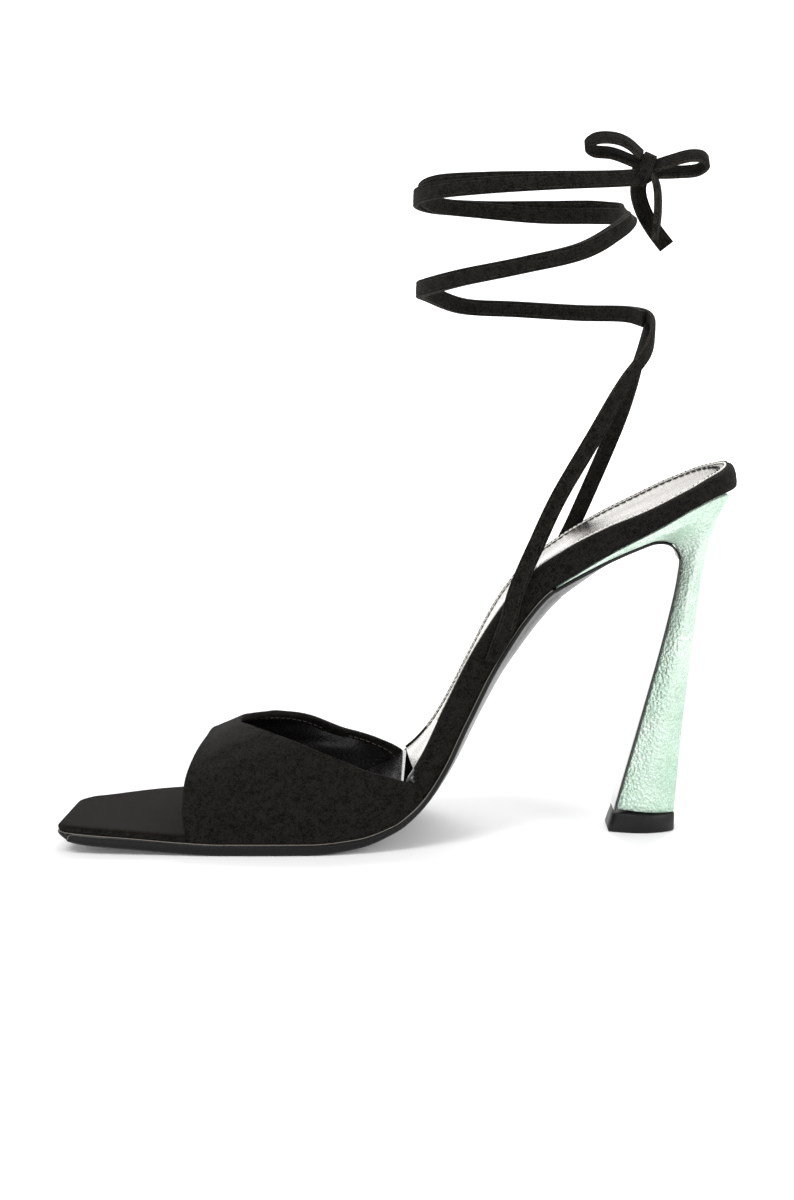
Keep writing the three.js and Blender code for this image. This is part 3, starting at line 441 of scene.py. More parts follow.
suede = make_suede("black_suede", rgb(0, 0, 0), rgb(28, 27, 24), 0.02)
toe_suede = make_suede("toe_bed_suede", rgb(0, 0, 0), rgb(22, 17, 13), 0.01)
# A lighter suede on the cut edges and sewn lines of the straps and bow: a painted highlight.
highlit_edge_suede = make_suede("highlit_edge_suede", rgb(6, 6, 5), rgb(46, 43, 39), 0.02)
lining = make_leather(
    "vamp_lining", rgb(10, 10, 10), rgb(18, 17, 16), 0.26, 1.1, 0.0002, coat_weight=0.6, coat_roughness=0.14
)
sole_leather = make_leather(
    "sole_leather", rgb(5, 5, 5), rgb(9, 9, 9), 0.3, 1.4, 0.00003,
    specular_ior_level=0.2, coat_weight=0.1, coat_roughness=0.15,
)
# The silver's slow light and dark streaks along the sock are painted reflections of the metallic leather.
silver = make_leather(
    "silver_leather", rgb(122, 118, 112), rgb(208, 204, 198), 0.25, 0.8, 0.00012, (14, 3, 0.3, 0.7),
    metallic=0.9,
)
# Near-white for the dashes along the sock's rim: painted highlight glints.
sock_rim_glint, _, _ = material("sock_rim_glint", base_color=rgb(228, 225, 219), roughness=0.35, metallic=0.4)
mint = make_leather(
    "mint_leather", rgb(190, 217, 198), rgb(220, 236, 224), 0.3, 1.0, 0.0016, metallic=0.6,
    specular_tint=(0.8, 0.95, 0.87, 1), specular_ior_level=0.4,
)
rubber = make_leather(
    "heel_rubber", rgb(7, 7, 7), rgb(13, 13, 13), 0.42, 0.6, 0.00006, specular_ior_level=0.3
)
lacquer, _, _ = material(
    "flap_lacquer", base_color=rgb(8, 8, 8), roughness=0.08, coat_weight=1, coat_roughness=0.04
)
black_thread, _, _ = material("black_thread", base_color=rgb(14, 13, 13), roughness=0.6)
pale_thread, _, _ = material("pale_thread", base_color=rgb(84, 79, 72), roughness=0.6)
# Pale grey for the line along the sole's upper edge: a painted highlight.
sole_edge_highlight, _, _ = material("sole_edge_highlight", base_color=rgb(112, 108, 101), roughness=0.4)

# Outsole

# The heel's breast, from under the waist down to the tip: at, up, half, width, belly
BREAST = np.array([
    (0.7285, 0.7205, 0.485, WAIST, 1.4),
    (0.7676, 0.7634, 0.425, WAIST, 1),
    (0.8041, 0.7995, 0.335, WAIST, 0.6),
    (0.8429, 0.8294, 0.25, WAIST, 0.36),
    (0.8799, 0.847, 0.43, NECK_WIDTH, 0.26),
    (0.9023, 0.8373, 0.36, NECK_WIDTH, 0.22),
    (0.9151, 0.8012, 0.32, NECK_WIDTH, 0.19),
    (0.9137, 0.7432, 0.3, NECK_WIDTH, 0.19),
    (0.8959, 0.5778, 0.3, NECK_WIDTH, 0.19),
    (0.8653, 0.3544, 0.3, BOTTOM_WIDTH, 0.19),
    (0.8237, 0.0633, 0.34, BOTTOM_WIDTH, 0.19),
])
HEEL_TOP_Z = BASE + SEAT_LIFT
# How far the sole's edge is rounded, and from which of the flap's rows on it is lacquered
SOLE_ROUND = 1.2
FLAP_ROWS, LACQUER_ROW = 150, 90
breast = Curve(np.stack([TOE_X + BREAST[:, 0] * LENGTH, 0 * BREAST[:, 0], BREAST[:, 1] * HEEL_TOP_Z], -1))
breast_s = np.linspace(0, 1, len(BREAST))
breast_half = through(breast_s, BREAST[:, 2] * BREAST[:, 3])
breast_belly = through(breast_s, BREAST[:, 4] * SOLE)


def on_breast(s, y, out):
    """A point of the breast: s down it, y across it, and out in front of it."""
    point = breast.at(s)
    tangent = unit(breast.at(np.minimum(s + 0.002, 1)) - breast.at(np.maximum(s - 0.002, 0)))
    away = np.stack([tangent[:, 2], 0 * s, -tangent[:, 0]], -1)
    tilt = y * np.tan(bank(point[:, 0])) * (1 - ease(s, 0, 0.4))
    point = point + away * np.reshape(out + tilt, (-1, 1))
    point[:, 1] = y
    return point


def sole_ring(place, halves, edge, belly):
    """Both sides' points for all sections: a rounded edge, then a crowned underside."""
    sides = []
    for sign, half in zip((MEDIAL, LATERAL), halves):
        points = []
        start = np.minimum(SOLE_ROUND, half * 0.4)
        for a in np.linspace(0, np.pi / 2, 6):
            points.append(place(sign, start * (1 - np.cos(a)) ** 1.5, edge * np.sin(a)))
        for v in np.linspace(0, 1, 9)[1:-1]:
            crown = edge + (belly - edge) * (1 - (1 - v) ** 2.5)
            points.append(place(sign, start + (half - start) * v, crown))
        sides.append(points)
    low = (place(MEDIAL, halves[0], belly) + place(LATERAL, halves[1], belly)) / 2
    high = (sides[0][0] + sides[1][0]) / 2
    return np.stack([*sides[0], low, *sides[1][::-1], high], 1)


def make_outsole():
    sole_body = body_stations(TOE_X + TOE_CORNER, TOE_X + BREAST[0, 0] * LENGTH - 1, 130)
    stations = Sections(np.linspace(0, 90, 9), sole_body, [])
    x, _ = stations.rim(MEDIAL, 0)

    def body(sign, inset, depth):
        spot_x, spot_y = stations.rim(sign, 0)
        keep = np.maximum(np.abs(spot_y) - inset, 0)
        back = np.minimum(inset, SOLE_ROUND) * (spot_x < TOE_X + TOE_CORNER)
        return on_last(spot_x + back, sign * keep, -GAP - depth)

    halves = [np.abs(stations.rim(sign, 0)[1]) for sign in (MEDIAL, LATERAL)]
    front = sole_ring(body, halves, sole_edge(x), sole_belly(x))
    s = np.linspace(0, 1, FLAP_ROWS)
    half, belly = breast_half(s), breast_belly(s)
    edge = np.minimum(sole_edge(breast.at(s)[:, 0]), belly)

    def down_breast(sign, inset, depth):
        return on_breast(s, sign * (half - inset), depth)

    flap = sole_ring(down_breast, [half, half], edge, belly)
    rings = np.concatenate([front, flap])
    points, faces = loft(rings)
    smooth_skin = np.repeat(np.arange(len(rings) - 1) > len(front) + LACQUER_ROW, rings.shape[1])
    which = np.r_[smooth_skin, np.zeros(2 * rings.shape[1], bool)].astype(int)
    return mesh_object("outsole_leather", points, faces, [sole_leather, lacquer], which)


# Footbed and sock

# The band's side: inset, height
BAND_SIDE = [(1.3, 0), (0.25, 0.14), (0, 0.5), (0.45, 0.8), (1.4, 0.95), (2.6, 1)]
SOCK_BED = SOCK + GAP
# inset, depth of the recess that the sock lies in
SOCK_RECESS = [(SOCK_INSET - GAP - 0.25, 0), (SOCK_INSET - GAP, SOCK_BED), (SOCK_INSET + 1, SOCK_BED + 0.1)]
bed_x = body_stations(TOE_X + TOE_CORNER, seat_start, 230)
bed_sections = Sections(np.linspace(0, 84, 9), bed_x, np.linspace(4, 89, 26))


# Where the brown toe bed ends under the vamp, and where the lining in front of the sock ends.
TOE_BED_END, LINING_END = TOE_X + 0.27 * LENGTH, SOCK_FRONT_X - 3.0
# The suede band stays black up to this height, and this far in beside the lining.
BAND_LOW, BAND_TURN = 1.6, 2.6


def bed_dish(x):
    """How deep the footbed and the sock are dished."""
    return BED_DISH * ease(x, SOCK_FRONT_X, SOCK_FRONT_X + 20)


def under_vamp(side, x):
    """How far the band draws in where the vamp's foot covers its side."""
    front, rear = (0.192, 0.5375) if side == MEDIAL else (0.215, 0.519)
    return (VAMP_WALL + 0.35) * ease(x, TOE_X + front * LENGTH - 0.6, TOE_X + front * LENGTH + 0.6) * (
        1 - ease(x, TOE_X + rear * LENGTH - 0.4, TOE_X + rear * LENGTH + 1)
    )


# Creases in the lining leather in front of the sock: from, to, width, depth
INSOLE_CREASES = [
    ((-2, -20, 15), (-5, 4, 14), 1.3, 0.5),
    ((-6, 0, 13), (-9, 24, 13), 1.4, 0.55),
    ((-11, -16, 11), (-13, 12, 10), 1.5, 0.5),
    ((-18, -6, 9), (-19, 20, 9), 1.8, 0.4),
]


def make_footbed():
    side_line = Curve([(inset, height, 0) for inset, height in BAND_SIDE]).even(15)
    sides = {}
    for side in (MEDIAL, LATERAL):
        ring = []
        for inset, height, _ in side_line:
            x, y = bed_sections.rim(side, inset)
            y = y - side * under_vamp(side, x)
            ring.append(on_last(x, y, bed_thickness(x) * height))
        for inset, sink in SOCK_RECESS:
            x, y = bed_sections.rim(side, inset)
            y = y - side * np.minimum(under_vamp(side, x), 1)
            depth = sink * ease(x, SOCK_FRONT_X - 0.8, SOCK_FRONT_X - 0.2)
            ring.append(on_last(x, y, bed_thickness(x) - depth))
        sides[side] = ring
    middle = []
    for w in np.linspace(0, 1, 12)[1:-1]:
        point = sides[MEDIAL][-1] * (1 - w) + sides[LATERAL][-1] * w
        point[:, 2] -= bed_dish(point[:, 0]) * np.sin(np.pi * w)
        middle.append(point)
    rings = np.stack([*sides[MEDIAL], *middle, *sides[LATERAL][::-1]], 1)
    points, faces = loft(rings, "strip")
    fore = (points[:, 0] < SOCK_FRONT_X - 4) & (points[:, 2] > board(points[:, 0]) + 2)
    points[fore] = creased(points[fore], np.array([0, 0, 1.0]), INSOLE_CREASES)
    x, y, z = np.array([points[list(face)].mean(0) for face in faces]).T
    upper = z > on_last(x, 0, 0)[:, 2] + BAND_LOW
    toe = upper & (x < TOE_BED_END)
    inside = np.abs(y) < np.where(y < 0, medial_half(x), lateral_half(x)) - BAND_TURN
    lined = upper & ~toe & inside & (x < LINING_END)
    return mesh_object("footbed_cover", points, faces, [suede, toe_suede, lining], toe + 2 * lined)


sock_body = body_stations(SOCK_FRONT_X, seat_start, 170)
sock_sections = Sections([], sock_body, np.linspace(4, 89, 26))


def sock_line(side, inset, lift):
    x, y = sock_sections.rim(side, inset)
    return on_last(x, y, bed_thickness(x) + lift)


def sock_surface(inset, lift=0.0):
    """Both sides' lines at an inset from the sole's outline, on the dished face of the sock."""
    lines = []
    for side in (MEDIAL, LATERAL):
        x, y = sock_sections.rim(side, inset)
        half = np.maximum(np.abs(sock_sections.rim(side, SOCK_INSET)[1]), 1e-6)
        share = np.clip(np.abs(y) / half, 0, 1)
        lines.append(on_last(x, y, bed_thickness(x) + lift - bed_dish(x) * np.cos(share * np.pi / 2)))
    return lines


# How far the black front corner of the sock reaches back on its medial side.
SOCK_TONGUE = 3.4


def blacken_front(made, medial, lateral):
    """Black leather on the sock's front, up to a line from its lateral corner to behind its medial one."""
    tree = made.node_tree
    shader = next(node for node in tree.nodes if node.type == "BSDF_PRINCIPLED")
    lean = (medial[0] + SOCK_TONGUE - lateral[0]) / (lateral[1] - medial[1])
    line = (lateral[0] - 0.2 + lean * lateral[1]) / 1000
    place = add(tree, "TexCoord")
    across = add(tree, "VectorMath", operation="DOT_PRODUCT")
    across.inputs[1].default_value = (1, lean, 0)
    link(place.outputs["Object"], across.inputs[0])
    behind = spread(tree, across.outputs["Value"], 0.0, 1.0, line - 0.0001, line + 0.0001)
    # Each mix goes from the black corner to the silver behind the line.
    shades = shader.inputs["Base Color"].links[0].from_socket
    mixed = add(tree, "Mix", data_type="RGBA")
    mixed.inputs[6].default_value = rgb(5, 5, 5)
    link(behind, mixed.inputs[0])
    link(shades, mixed.inputs[7])
    link(mixed.outputs[2], shader.inputs["Base Color"])
    link(spread(tree, behind, 0.0, 0.9, 0.0, 1.0), shader.inputs["Metallic"])
    rough = add(tree, "Mix", data_type="FLOAT")
    rough.inputs[2].default_value = 0.95
    link(behind, rough.inputs[0])
    link(shader.inputs["Roughness"].links[0].from_socket, rough.inputs[3])
    link(rough.outputs[0], shader.inputs["Roughness"])
    link(spread(tree, behind, 0.0, 0.5, 0.0, 1.0), shader.inputs["Specular IOR Level"])


def make_sock():
    rows = [(SOCK_INSET, -SOCK), (SOCK_INSET, -0.3), (SOCK_INSET + 0.12, -0.1), (SOCK_INSET + 0.4, 0.0)]
    sides = {side: [sock_line(side, inset, lift) for inset, lift in rows] for side in (MEDIAL, LATERAL)}
    a, b = sides[MEDIAL][-1], sides[LATERAL][-1]
    middle = []
    for w in np.linspace(0, 1, 26)[1:-1]:
        point = a * (1 - w) + b * w
        point[:, 2] -= bed_dish(point[:, 0]) * np.sin(np.pi * w)
        middle.append(point)
    under = [sides[MEDIAL][0] * (1 - w) + sides[LATERAL][0] * w for w in (0.75, 0.5, 0.25)]
    for point in under:
        point[:, 2] -= bed_dish(point[:, 0]) * 0.9
    rings = np.stack([*sides[MEDIAL], *middle, *sides[LATERAL][::-1], *under], 1)
    blacken_front(silver, a[0], b[0])
    return mesh_object("sock_leather", *loft(rings), [silver])


def round_sock(inset, lift):
    """A line round the sock, from behind its black front on one side to the other, and the way up."""
    medial, lateral = sock_surface(inset, lift)
    above_medial, above_lateral = sock_surface(inset, lift + 1)
    inner = medial[:, 0] > SOCK_FRONT_X + SOCK_TONGUE + 1
    outer = lateral[:, 0] > SOCK_FRONT_X + 0.8
    line = np.vstack([medial[inner], lateral[outer][::-1]])
    above = np.vstack([above_medial[inner], above_lateral[outer][::-1]])
    return line, above - line


def make_sock_stitches():
    """Black stitches round the sock, and the cover's piped rim, which stands up on the outer side."""
    round_line, up = round_sock(SOCK_INSET + 1.7, 0.05)
    outer_rim = sock_surface(SOCK_INSET - 0.75, 0.3)[1]
    points, faces = merged([stitches(round_line, up, 2.4, 0.7, 0.3), tube(outer_rim, 0.38)])
    return mesh_object("sock_stitches", points, faces, [black_thread])


def make_sock_rim_glints():
    """The glints along the sock's edge: a fine broken pale line inside the band's rim, a painted highlight.
    """
    round_line, up = round_sock(SOCK_INSET - 0.25, 0.12)
    return mesh_object("sock_rim_glint", *stitches(round_line, up, 1.7, 0.84, 0.3, -0.1), [sock_rim_glint])


# Vamp

# The vamp's height over the board: at, height
VAMP_CREST = [
    (0.175, 0.73), (0.208, 0.79), (0.254, 0.92), (0.295, 1), (0.359, 1.1), (0.45, 1.2), (0.54, 1.22),
]
# The vamp's front and rear edges: turn in degrees, front, rear
VAMP_EDGES = np.array([
    (0, 0.192, 0.5375), (5, 0.188, 0.533), (9, 0.186, 0.522), (17, 0.184, 0.4954), (29, 0.184, 0.4406),
    (42, 0.186, 0.386), (61, 0.194, 0.315), (75, 0.202, 0.281), (90, 0.21, 0.26), (105, 0.213, 0.27),
    (120, 0.213, 0.304), (135, 0.212, 0.358), (150, 0.21, 0.411), (160, 0.21, 0.465), (170, 0.211, 0.503),
    (180, 0.215, 0.519),
])
VAMP_ROUNDNESS = 2.3
vamp_height = through([TOE_X + a * LENGTH for a, _ in VAMP_CREST], [h * VAMP_HEIGHT for _, h in VAMP_CREST])
vamp_front = through(np.radians(VAMP_EDGES[:, 0]), TOE_X + VAMP_EDGES[:, 1] * LENGTH)
vamp_rear = through(np.radians(VAMP_EDGES[:, 0]), TOE_X + VAMP_EDGES[:, 2] * LENGTH)


def on_vamp(x, turn, inset):
    """A point of the vamp's outer face, drawn in by inset."""
    side = MEDIAL if turn < np.pi / 2 else LATERAL
    power = 2 / VAMP_ROUNDNESS
    across, up = abs(math.cos(turn)) ** power, math.sin(turn) ** power
    y = side * (half_on(side, x) - GAP - inset) * across
    point = on_last(x, y, 0)
    point[:, 2] += (vamp_height(x) - inset) * up
    return point


# The way over the vamp from its medial foot to its lateral one, as turns in radians, closer at both feet.
TURNS = [(j / 96 - 0.06 * math.sin(2 * math.pi * j / 96)) * math.pi for j in range(97)]

# Soft creases over the ball and behind the toe opening: from, to, width, depth
VAMP_CREASES = [
    ((-4, -36, 9), (-22, -38, 17), 2.2, 0.45),
    ((-9, -37, 7), (-30, -39, 11), 2.4, 0.35),
    ((-60, -26, 26), (-42, -22, 33), 2.6, 0.4),
    ((-63, -33, 14), (-50, -35, 20), 2.4, 0.3),
    ((-58, 8, 33), (-45, 18, 35), 2.8, 0.35),
    ((-8, 36, 10), (-30, 38, 17), 2.4, 0.4),
    ((-45, 30, 26), (-20, 33, 24), 3.0, 0.3),
]


# The edges are turned in, so suede shows this far inside the vamp at its front and its rear.
TURNED_FRONT, TURNED_REAR, STITCH_INSET = 2.4, 4.2, 3.1


def make_vamp():
    steps = 56
    round_edge = 0.75
    rings, kinds = [], []
    for turn in TURNS:
        from_x, to_x = float(vamp_front(turn)), float(vamp_rear(turn))
        t = np.linspace(0, 1, steps + 1)
        t = t - 0.07 * np.sin(2 * np.pi * t)
        x = from_x + (to_x - from_x) * t
        near = np.minimum(x - from_x, to_x - x)
        rounding = round_edge * (1 - np.sqrt(1 - (1 - np.clip(near / round_edge, 0, 1)) ** 2))
        outer = on_vamp(x, turn, rounding)
        inner = on_vamp(x[::-1], turn, VAMP_WALL - rounding[::-1])
        rings.append(np.concatenate([outer, inner]))
        turned = (x[::-1] > to_x - TURNED_REAR) | (x[::-1] < from_x + TURNED_FRONT)
        kinds.append(np.r_[np.zeros(steps + 1, int), np.where(turned, 0, 1)])
    points, faces = loft(np.array(rings), "strip")
    points = creased(points, unit(points * [0, 1, 1] - [0, 0, 9]), VAMP_CREASES)
    flat = np.array(kinds).ravel()
    which = [int(min(flat[i] for i in face)) for face in faces]
    return mesh_object("vamp_upper", points, faces, [suede, lining], which)


def rear_seam(inset):
    """The line of the stitches inside the vamp's rear edge."""
    line = [on_vamp(np.array([vamp_rear(turn) - STITCH_INSET]), turn, inset)[0] for turn in TURNS[3:-3]]
    return np.array(line)


def make_vamp_stitches():
    line = rear_seam(VAMP_WALL)
    inwards = rear_seam(VAMP_WALL + 1) - line
    return mesh_object("vamp_stitches", *stitches(line, inwards, 2.2, 0.7, 0.14), [pale_thread])


# Heel

# The heel's rows, from the wedge's front round its back to the tip. Each runs from s on the breast
# to a place on the outer face: s, at, up (0 on the seat), wide, width, tail, round
HEEL_FAN = np.array([
    (0.05, 0.7475, 0, 0.485, SEAT, 1, 4),
    (0.1, 0.772, 0, 0.486, SEAT, 1, 4),
    (0.2, 0.811, 0, 0.488, SEAT, 1, 4),
    (0.3, 0.853, 0, 0.49, SEAT, 1, 4),
    (0.39, 0.893, 0, 0.486, SEAT, 1, 4),
    (0.45, 0.929, 0, 0.455, SEAT, 1, 4),
    (0.5, 0.956, 0, 0.4, SEAT, 0.94, 4),
    (0.55, 0.975, 0, 0.36, SEAT, 0.72, 4),
    (0.6, 0.982, 0.982, 0.33, SEAT, 0.35, 3.6),
    (0.64, 0.975, 0.948, 0.285, SEAT, 0.2, 3.4),
    (0.68, 0.9665, 0.9, 0.245, SEAT, 0.16, 3.2),
    (0.715, 0.958, 0.84, 0.215, SEAT, 0.14, 3),
    (0.755, 0.948, 0.745, 0.2, SEAT, 0.14, 2.8),
    (0.8, 0.9395, 0.6, 0.46, BOTTOM_WIDTH, 0.14, 2.8),
    (0.85, 0.9315, 0.468, 0.455, BOTTOM_WIDTH, 0.14, 2.8),
    (0.9, 0.9245, 0.343, 0.465, BOTTOM_WIDTH, 0.14, 2.8),
    (0.95, 0.918, 0.2, 0.48, BOTTOM_WIDTH, 0.14, 2.8),
    (0.998, 0.912, 0.058, 0.5, BOTTOM_WIDTH, 0.14, 2.8),
])
SEAT_ROWS = 7
rows_at = np.arange(len(HEEL_FAN))
heel_s = through(rows_at, HEEL_FAN[:, 0])
heel_x = through(rows_at, TOE_X + HEEL_FAN[:, 1] * LENGTH)
seat_z = board(TOE_X + HEEL_FAN[:, 1] * LENGTH) - GAP
heel_z = through(rows_at, np.where(HEEL_FAN[:, 2] == 0, seat_z, HEEL_FAN[:, 2] * HEEL_TOP_Z))
heel_wide = through(rows_at, HEEL_FAN[:, 3] * HEEL_FAN[:, 4])
heel_tail = through(rows_at, HEEL_FAN[:, 5])
heel_round = through(rows_at, HEEL_FAN[:, 6])


def heel_half(row, q):
    """The heel's half width, q of the way from the breast to the outer face."""
    spread_out = np.sin(np.minimum(1, q * 1.6) * np.pi / 2)
    fall = (1 - (1 - heel_tail(row)) * q ** heel_round(row)) ** (1 / heel_round(row))
    narrow = breast_half(heel_s(row))
    return (narrow + (heel_wide(row) - narrow) * spread_out) * fall


def heel_face(row, q, sign):
    y = sign * heel_half(row, q)
    inner = on_breast(heel_s(row), y, -GAP)
    seat = on_last(heel_x(row), y, -1.4 * GAP)
    back = np.stack([heel_x(row), y, heel_z(row)], -1)
    blend = ease(row, SEAT_ROWS - 0.2, SEAT_ROWS + 0.8)[:, None]
    outer = seat * (1 - blend) + back * blend
    return inner * (1 - q) + outer * q


def make_heel():
    # The wedge starts a little before the first row, so it comes out from under the sole without a step.
    rows = np.linspace(-0.75, len(HEEL_FAN) - 1, 179)
    levels = 1 - (1 - np.linspace(0, 1, 34)) ** 1.7
    sides = [[heel_face(rows, q, sign) for q in levels] for sign in (MEDIAL, LATERAL)]
    return mesh_object("heel_cover", *loft(np.stack([*sides[0], *sides[1][::-1]], 1)), [mint])


# up, how far it stands out in front of the heel and on its other sides
TIP_ROWS = [
    (0, 2.3, -0.3), (0.05, 2.35, 0), (0.1, 2.4, 0.15), (0.55, 1.5, 0.15), (0.95, 0.62, 0.15), (1, 0.9, -0.1),
]


def make_tip():
    bottom = float(len(HEEL_FAN) - 1)
    back_x = TOE_X + HEEL_FAN[-1, 1] * LENGTH
    rings = []
    for up, front, proud in TIP_ROWS:
        sides = []
        for sign in (MEDIAL, LATERAL):
            line = []
            for q in 1 - (1 - np.linspace(0, 1, 20)) ** 1.7:
                reach = back_x - BOTTOM_LENGTH - front
                y = sign * (float(heel_half(bottom, q)) + proud)
                line.append((reach + (back_x + proud - reach) * q, y, up * TIP_THICKNESS))
            sides.append(line)
        rings.append(sides[0] + sides[1][::-1])
    return mesh_object("heel_tip_rubber", *loft(np.array(rings)), [rubber])


# Straps and bow

def ribbon_section(seam=0.19, groove=0.1):
    """Across and out, as shares of a ribbon's width and thickness, with a sewn line along each edge."""
    half = [0, 0.1, 0.2, 0.26, 0.29, 0.31, 0.33, 0.36, 0.4, 0.44, 0.47, 0.49, 0.5]
    across = np.array([-w for w in half[:0:-1]] + half)
    edge = 0.5 - np.abs(across)
    rounding = np.sqrt(np.clip(1 - (1 - np.clip(edge / 0.13, 0, 1)) ** 2, 0, 1))
    line = groove * np.exp(-(((edge - seam) / 0.04) ** 2))
    out = 0.5 * (0.25 + 0.75 * rounding) - line
    top = np.stack([across, out], -1)
    bottom = np.stack([across[::-1], -out[::-1]], -1)
    return np.concatenate([top, bottom])


SECTION = ribbon_section()
# The section's faces that are cut edges or sewn lines, which take a lighter suede as a painted highlight
MIDDLES = np.abs(SECTION[:, 0] + np.roll(SECTION[:, 0], -1)) / 2
CUT_EDGE = (MIDDLES > 0.47) | ((MIDDLES > 0.292) & (MIDDLES < 0.328))


def edge_faces(rings):
    """Which faces of a ribbon of so many rings are its cut edges and sewn lines, painted lighter as a
    highlight.
    """
    return np.r_[np.tile(CUT_EDGE, rings - 1), np.zeros(2 * len(SECTION), bool)].astype(int)


def ribbon(path, face, width=STRAP_WIDTH, thickness=STRAP_THICKNESS, twist=None, ripple=0.0, phase=0.0):
    """A flat strap along path. face is the way that its outer face looks at each place."""
    tangent = directions(path)
    across = unit(np.cross(tangent, face))
    out = unit(np.cross(across, tangent))
    way = np.r_[0, np.cumsum(np.linalg.norm(np.diff(path, axis=0), axis=1))]
    if twist is not None:
        turn = twist[:, None]
        across, out = (
            across * np.cos(turn) + out * np.sin(turn),
            out * np.cos(turn) - across * np.sin(turn),
        )
    wave = ripple * (np.sin(way / 5.3 + phase) + 0.6 * np.sin(way / 2.9 + 2.1 * phase))
    w, t = SECTION[:, 0][None, :, None], SECTION[:, 1][None, :, None]
    cup = 0.06 * (4 * w**2 - 0.4) * wave[:, None, None]
    rings = (
        path[:, None]
        + across[:, None] * w * width
        + out[:, None] * (t * thickness + cup + 0.25 * w * wave[:, None, None])
    )
    return loft(rings)


# The turns round the ankle: turn in degrees, up, over, reach
WRAPS = np.array([
    (-22, 0.747, 0, 1.12), (-6, 0.776, 0, 1.12), (10, 0.793, 0, 1.12), (30, 0.799, 0, 1.11),
    (60, 0.799, 0, 1.08), (93, 0.804, 0, 1.04), (125, 0.81, 0, 1), (156, 0.831, 0, 0.98),
    (180, 0.839, 0, 0.975), (203, 0.846, 0, 0.975),
    (230, 0.86, 0, 0.96), (265, 0.879, 0, 0.94), (298, 0.899, 0, 0.92), (325, 0.925, 0, 0.91),
    (352, 0.944, -0.1, 0.91), (378, 0.956, -0.3, 0.91), (404, 0.961, -0.45, 0.92), (440, 0.961, -0.42, 0.95),
    (475, 0.961, -0.1, 0.97), (510, 0.966, 0.05, 0.99), (540, 0.976, 0.3, 1), (570, 0.986, 0.45, 1),
    (606, 0.994, 0.3, 1), (640, 1, 0.1, 1), (675, 1.004, 0, 1), (697.6, 1.007, 0, 1.075),
])
ANKLE_X = TOE_X + 0.687 * LENGTH


def wrap_point(row, inwards, over):
    """A place on the turns, inwards of the outer layer. over is 1 on the layer that shifts sideways."""
    turn = math.radians(row[0])
    x = ANKLE_X + (row[3] * WRAP_DEPTH / 2 - inwards) * math.cos(turn)
    y = (WRAP_WIDTH / 2 - inwards) * math.sin(turn)
    return np.array([x, y, row[1] * WRAP_HEIGHT + over * row[2] * STRAP_WIDTH])


def from_ankle(points):
    """The way out of the oval that the straps are wound round."""
    x, y, _ = points.T
    return unit(np.stack([(x - ANKLE_X) / WRAP_DEPTH**2, y / WRAP_WIDTH**2, 0 * x], -1))


def rising_face(side, points):
    """A rising strap's outer face: sideways at its root and away from the ankle higher up."""
    turned = ease(points[:, 2], 0.57 * WRAP_HEIGHT, 0.75 * WRAP_HEIGHT)[:, None]
    return unit(np.array([0, side, 0]) * (1 - turned) + from_ankle(points) * turned)


# The straps' ways from their roots up to the ankle, as shares of the whole way: back, up, out
MEDIAL_RISE = [
    (0, 0, 1), (0.055, 0.08, 1), (0.105, 0.152, 1.01), (0.135, 0.217, 1.01), (0.19, 0.29, 0.98),
    (0.28, 0.39, 0.91), (0.412, 0.53, 0.79), (0.652, 0.731, 0.53), (0.865, 0.912, 0.23),
]
LATERAL_RISE = [
    (0, 0, 0.995), (0.0495, 0.057, 1), (0.122, 0.116, 1.02), (0.2145, 0.182, 1), (0.363, 0.308, 0.85),
    (0.644, 0.56, 0.56), (0.772, 0.686, 0.42), (0.878, 0.805, 0.28), (0.95, 0.912, 0.14), (1, 1, 0),
]


def rise(rows, side, root_at, root_lift, top):
    """A strap's way from its root on the footbed's side to the place top."""
    root_x = TOE_X + root_at * LENGTH
    root_y = side * (float(half_on(side, root_x - STRAP_WIDTH / 2)) + GAP + STRAP_THICKNESS / 2)
    root = on_last(np.array([root_x]), np.array([root_y]), root_lift)[0]
    return [
        (
            root[0] + (top[0] - root[0]) * back,
            top[1] + (root_y - top[1]) * out,
            root[2] + (top[2] - root[2]) * up,
        )
        for back, up, out in rows
    ]


# The straps' roots lie below this height.
HIGHEST_ROOT = 105


def above_sole(points):
    """Points near the footbed's band that would hang below the sole's edge are drawn up to it."""
    x, y, z = points.T
    at = x.copy()
    for _ in range(8):
        angle = np.arctan(board(at + 0.5) - board(at - 0.5))
        up = (z - board(at)) * np.cos(angle) - (x - at) * np.sin(angle)
        at = x + np.sin(angle) * up
    lift = up + y * np.tan(bank(at))
    low = (lift < 0) & (z < HIGHEST_ROOT)
    moved = points.copy()
    moved[low] = on_last(at[low], y[low], 0.0)
    return moved


# The twisted place lies between these heights.
TWIST_LOW, TWIST_HIGH = 192, 206


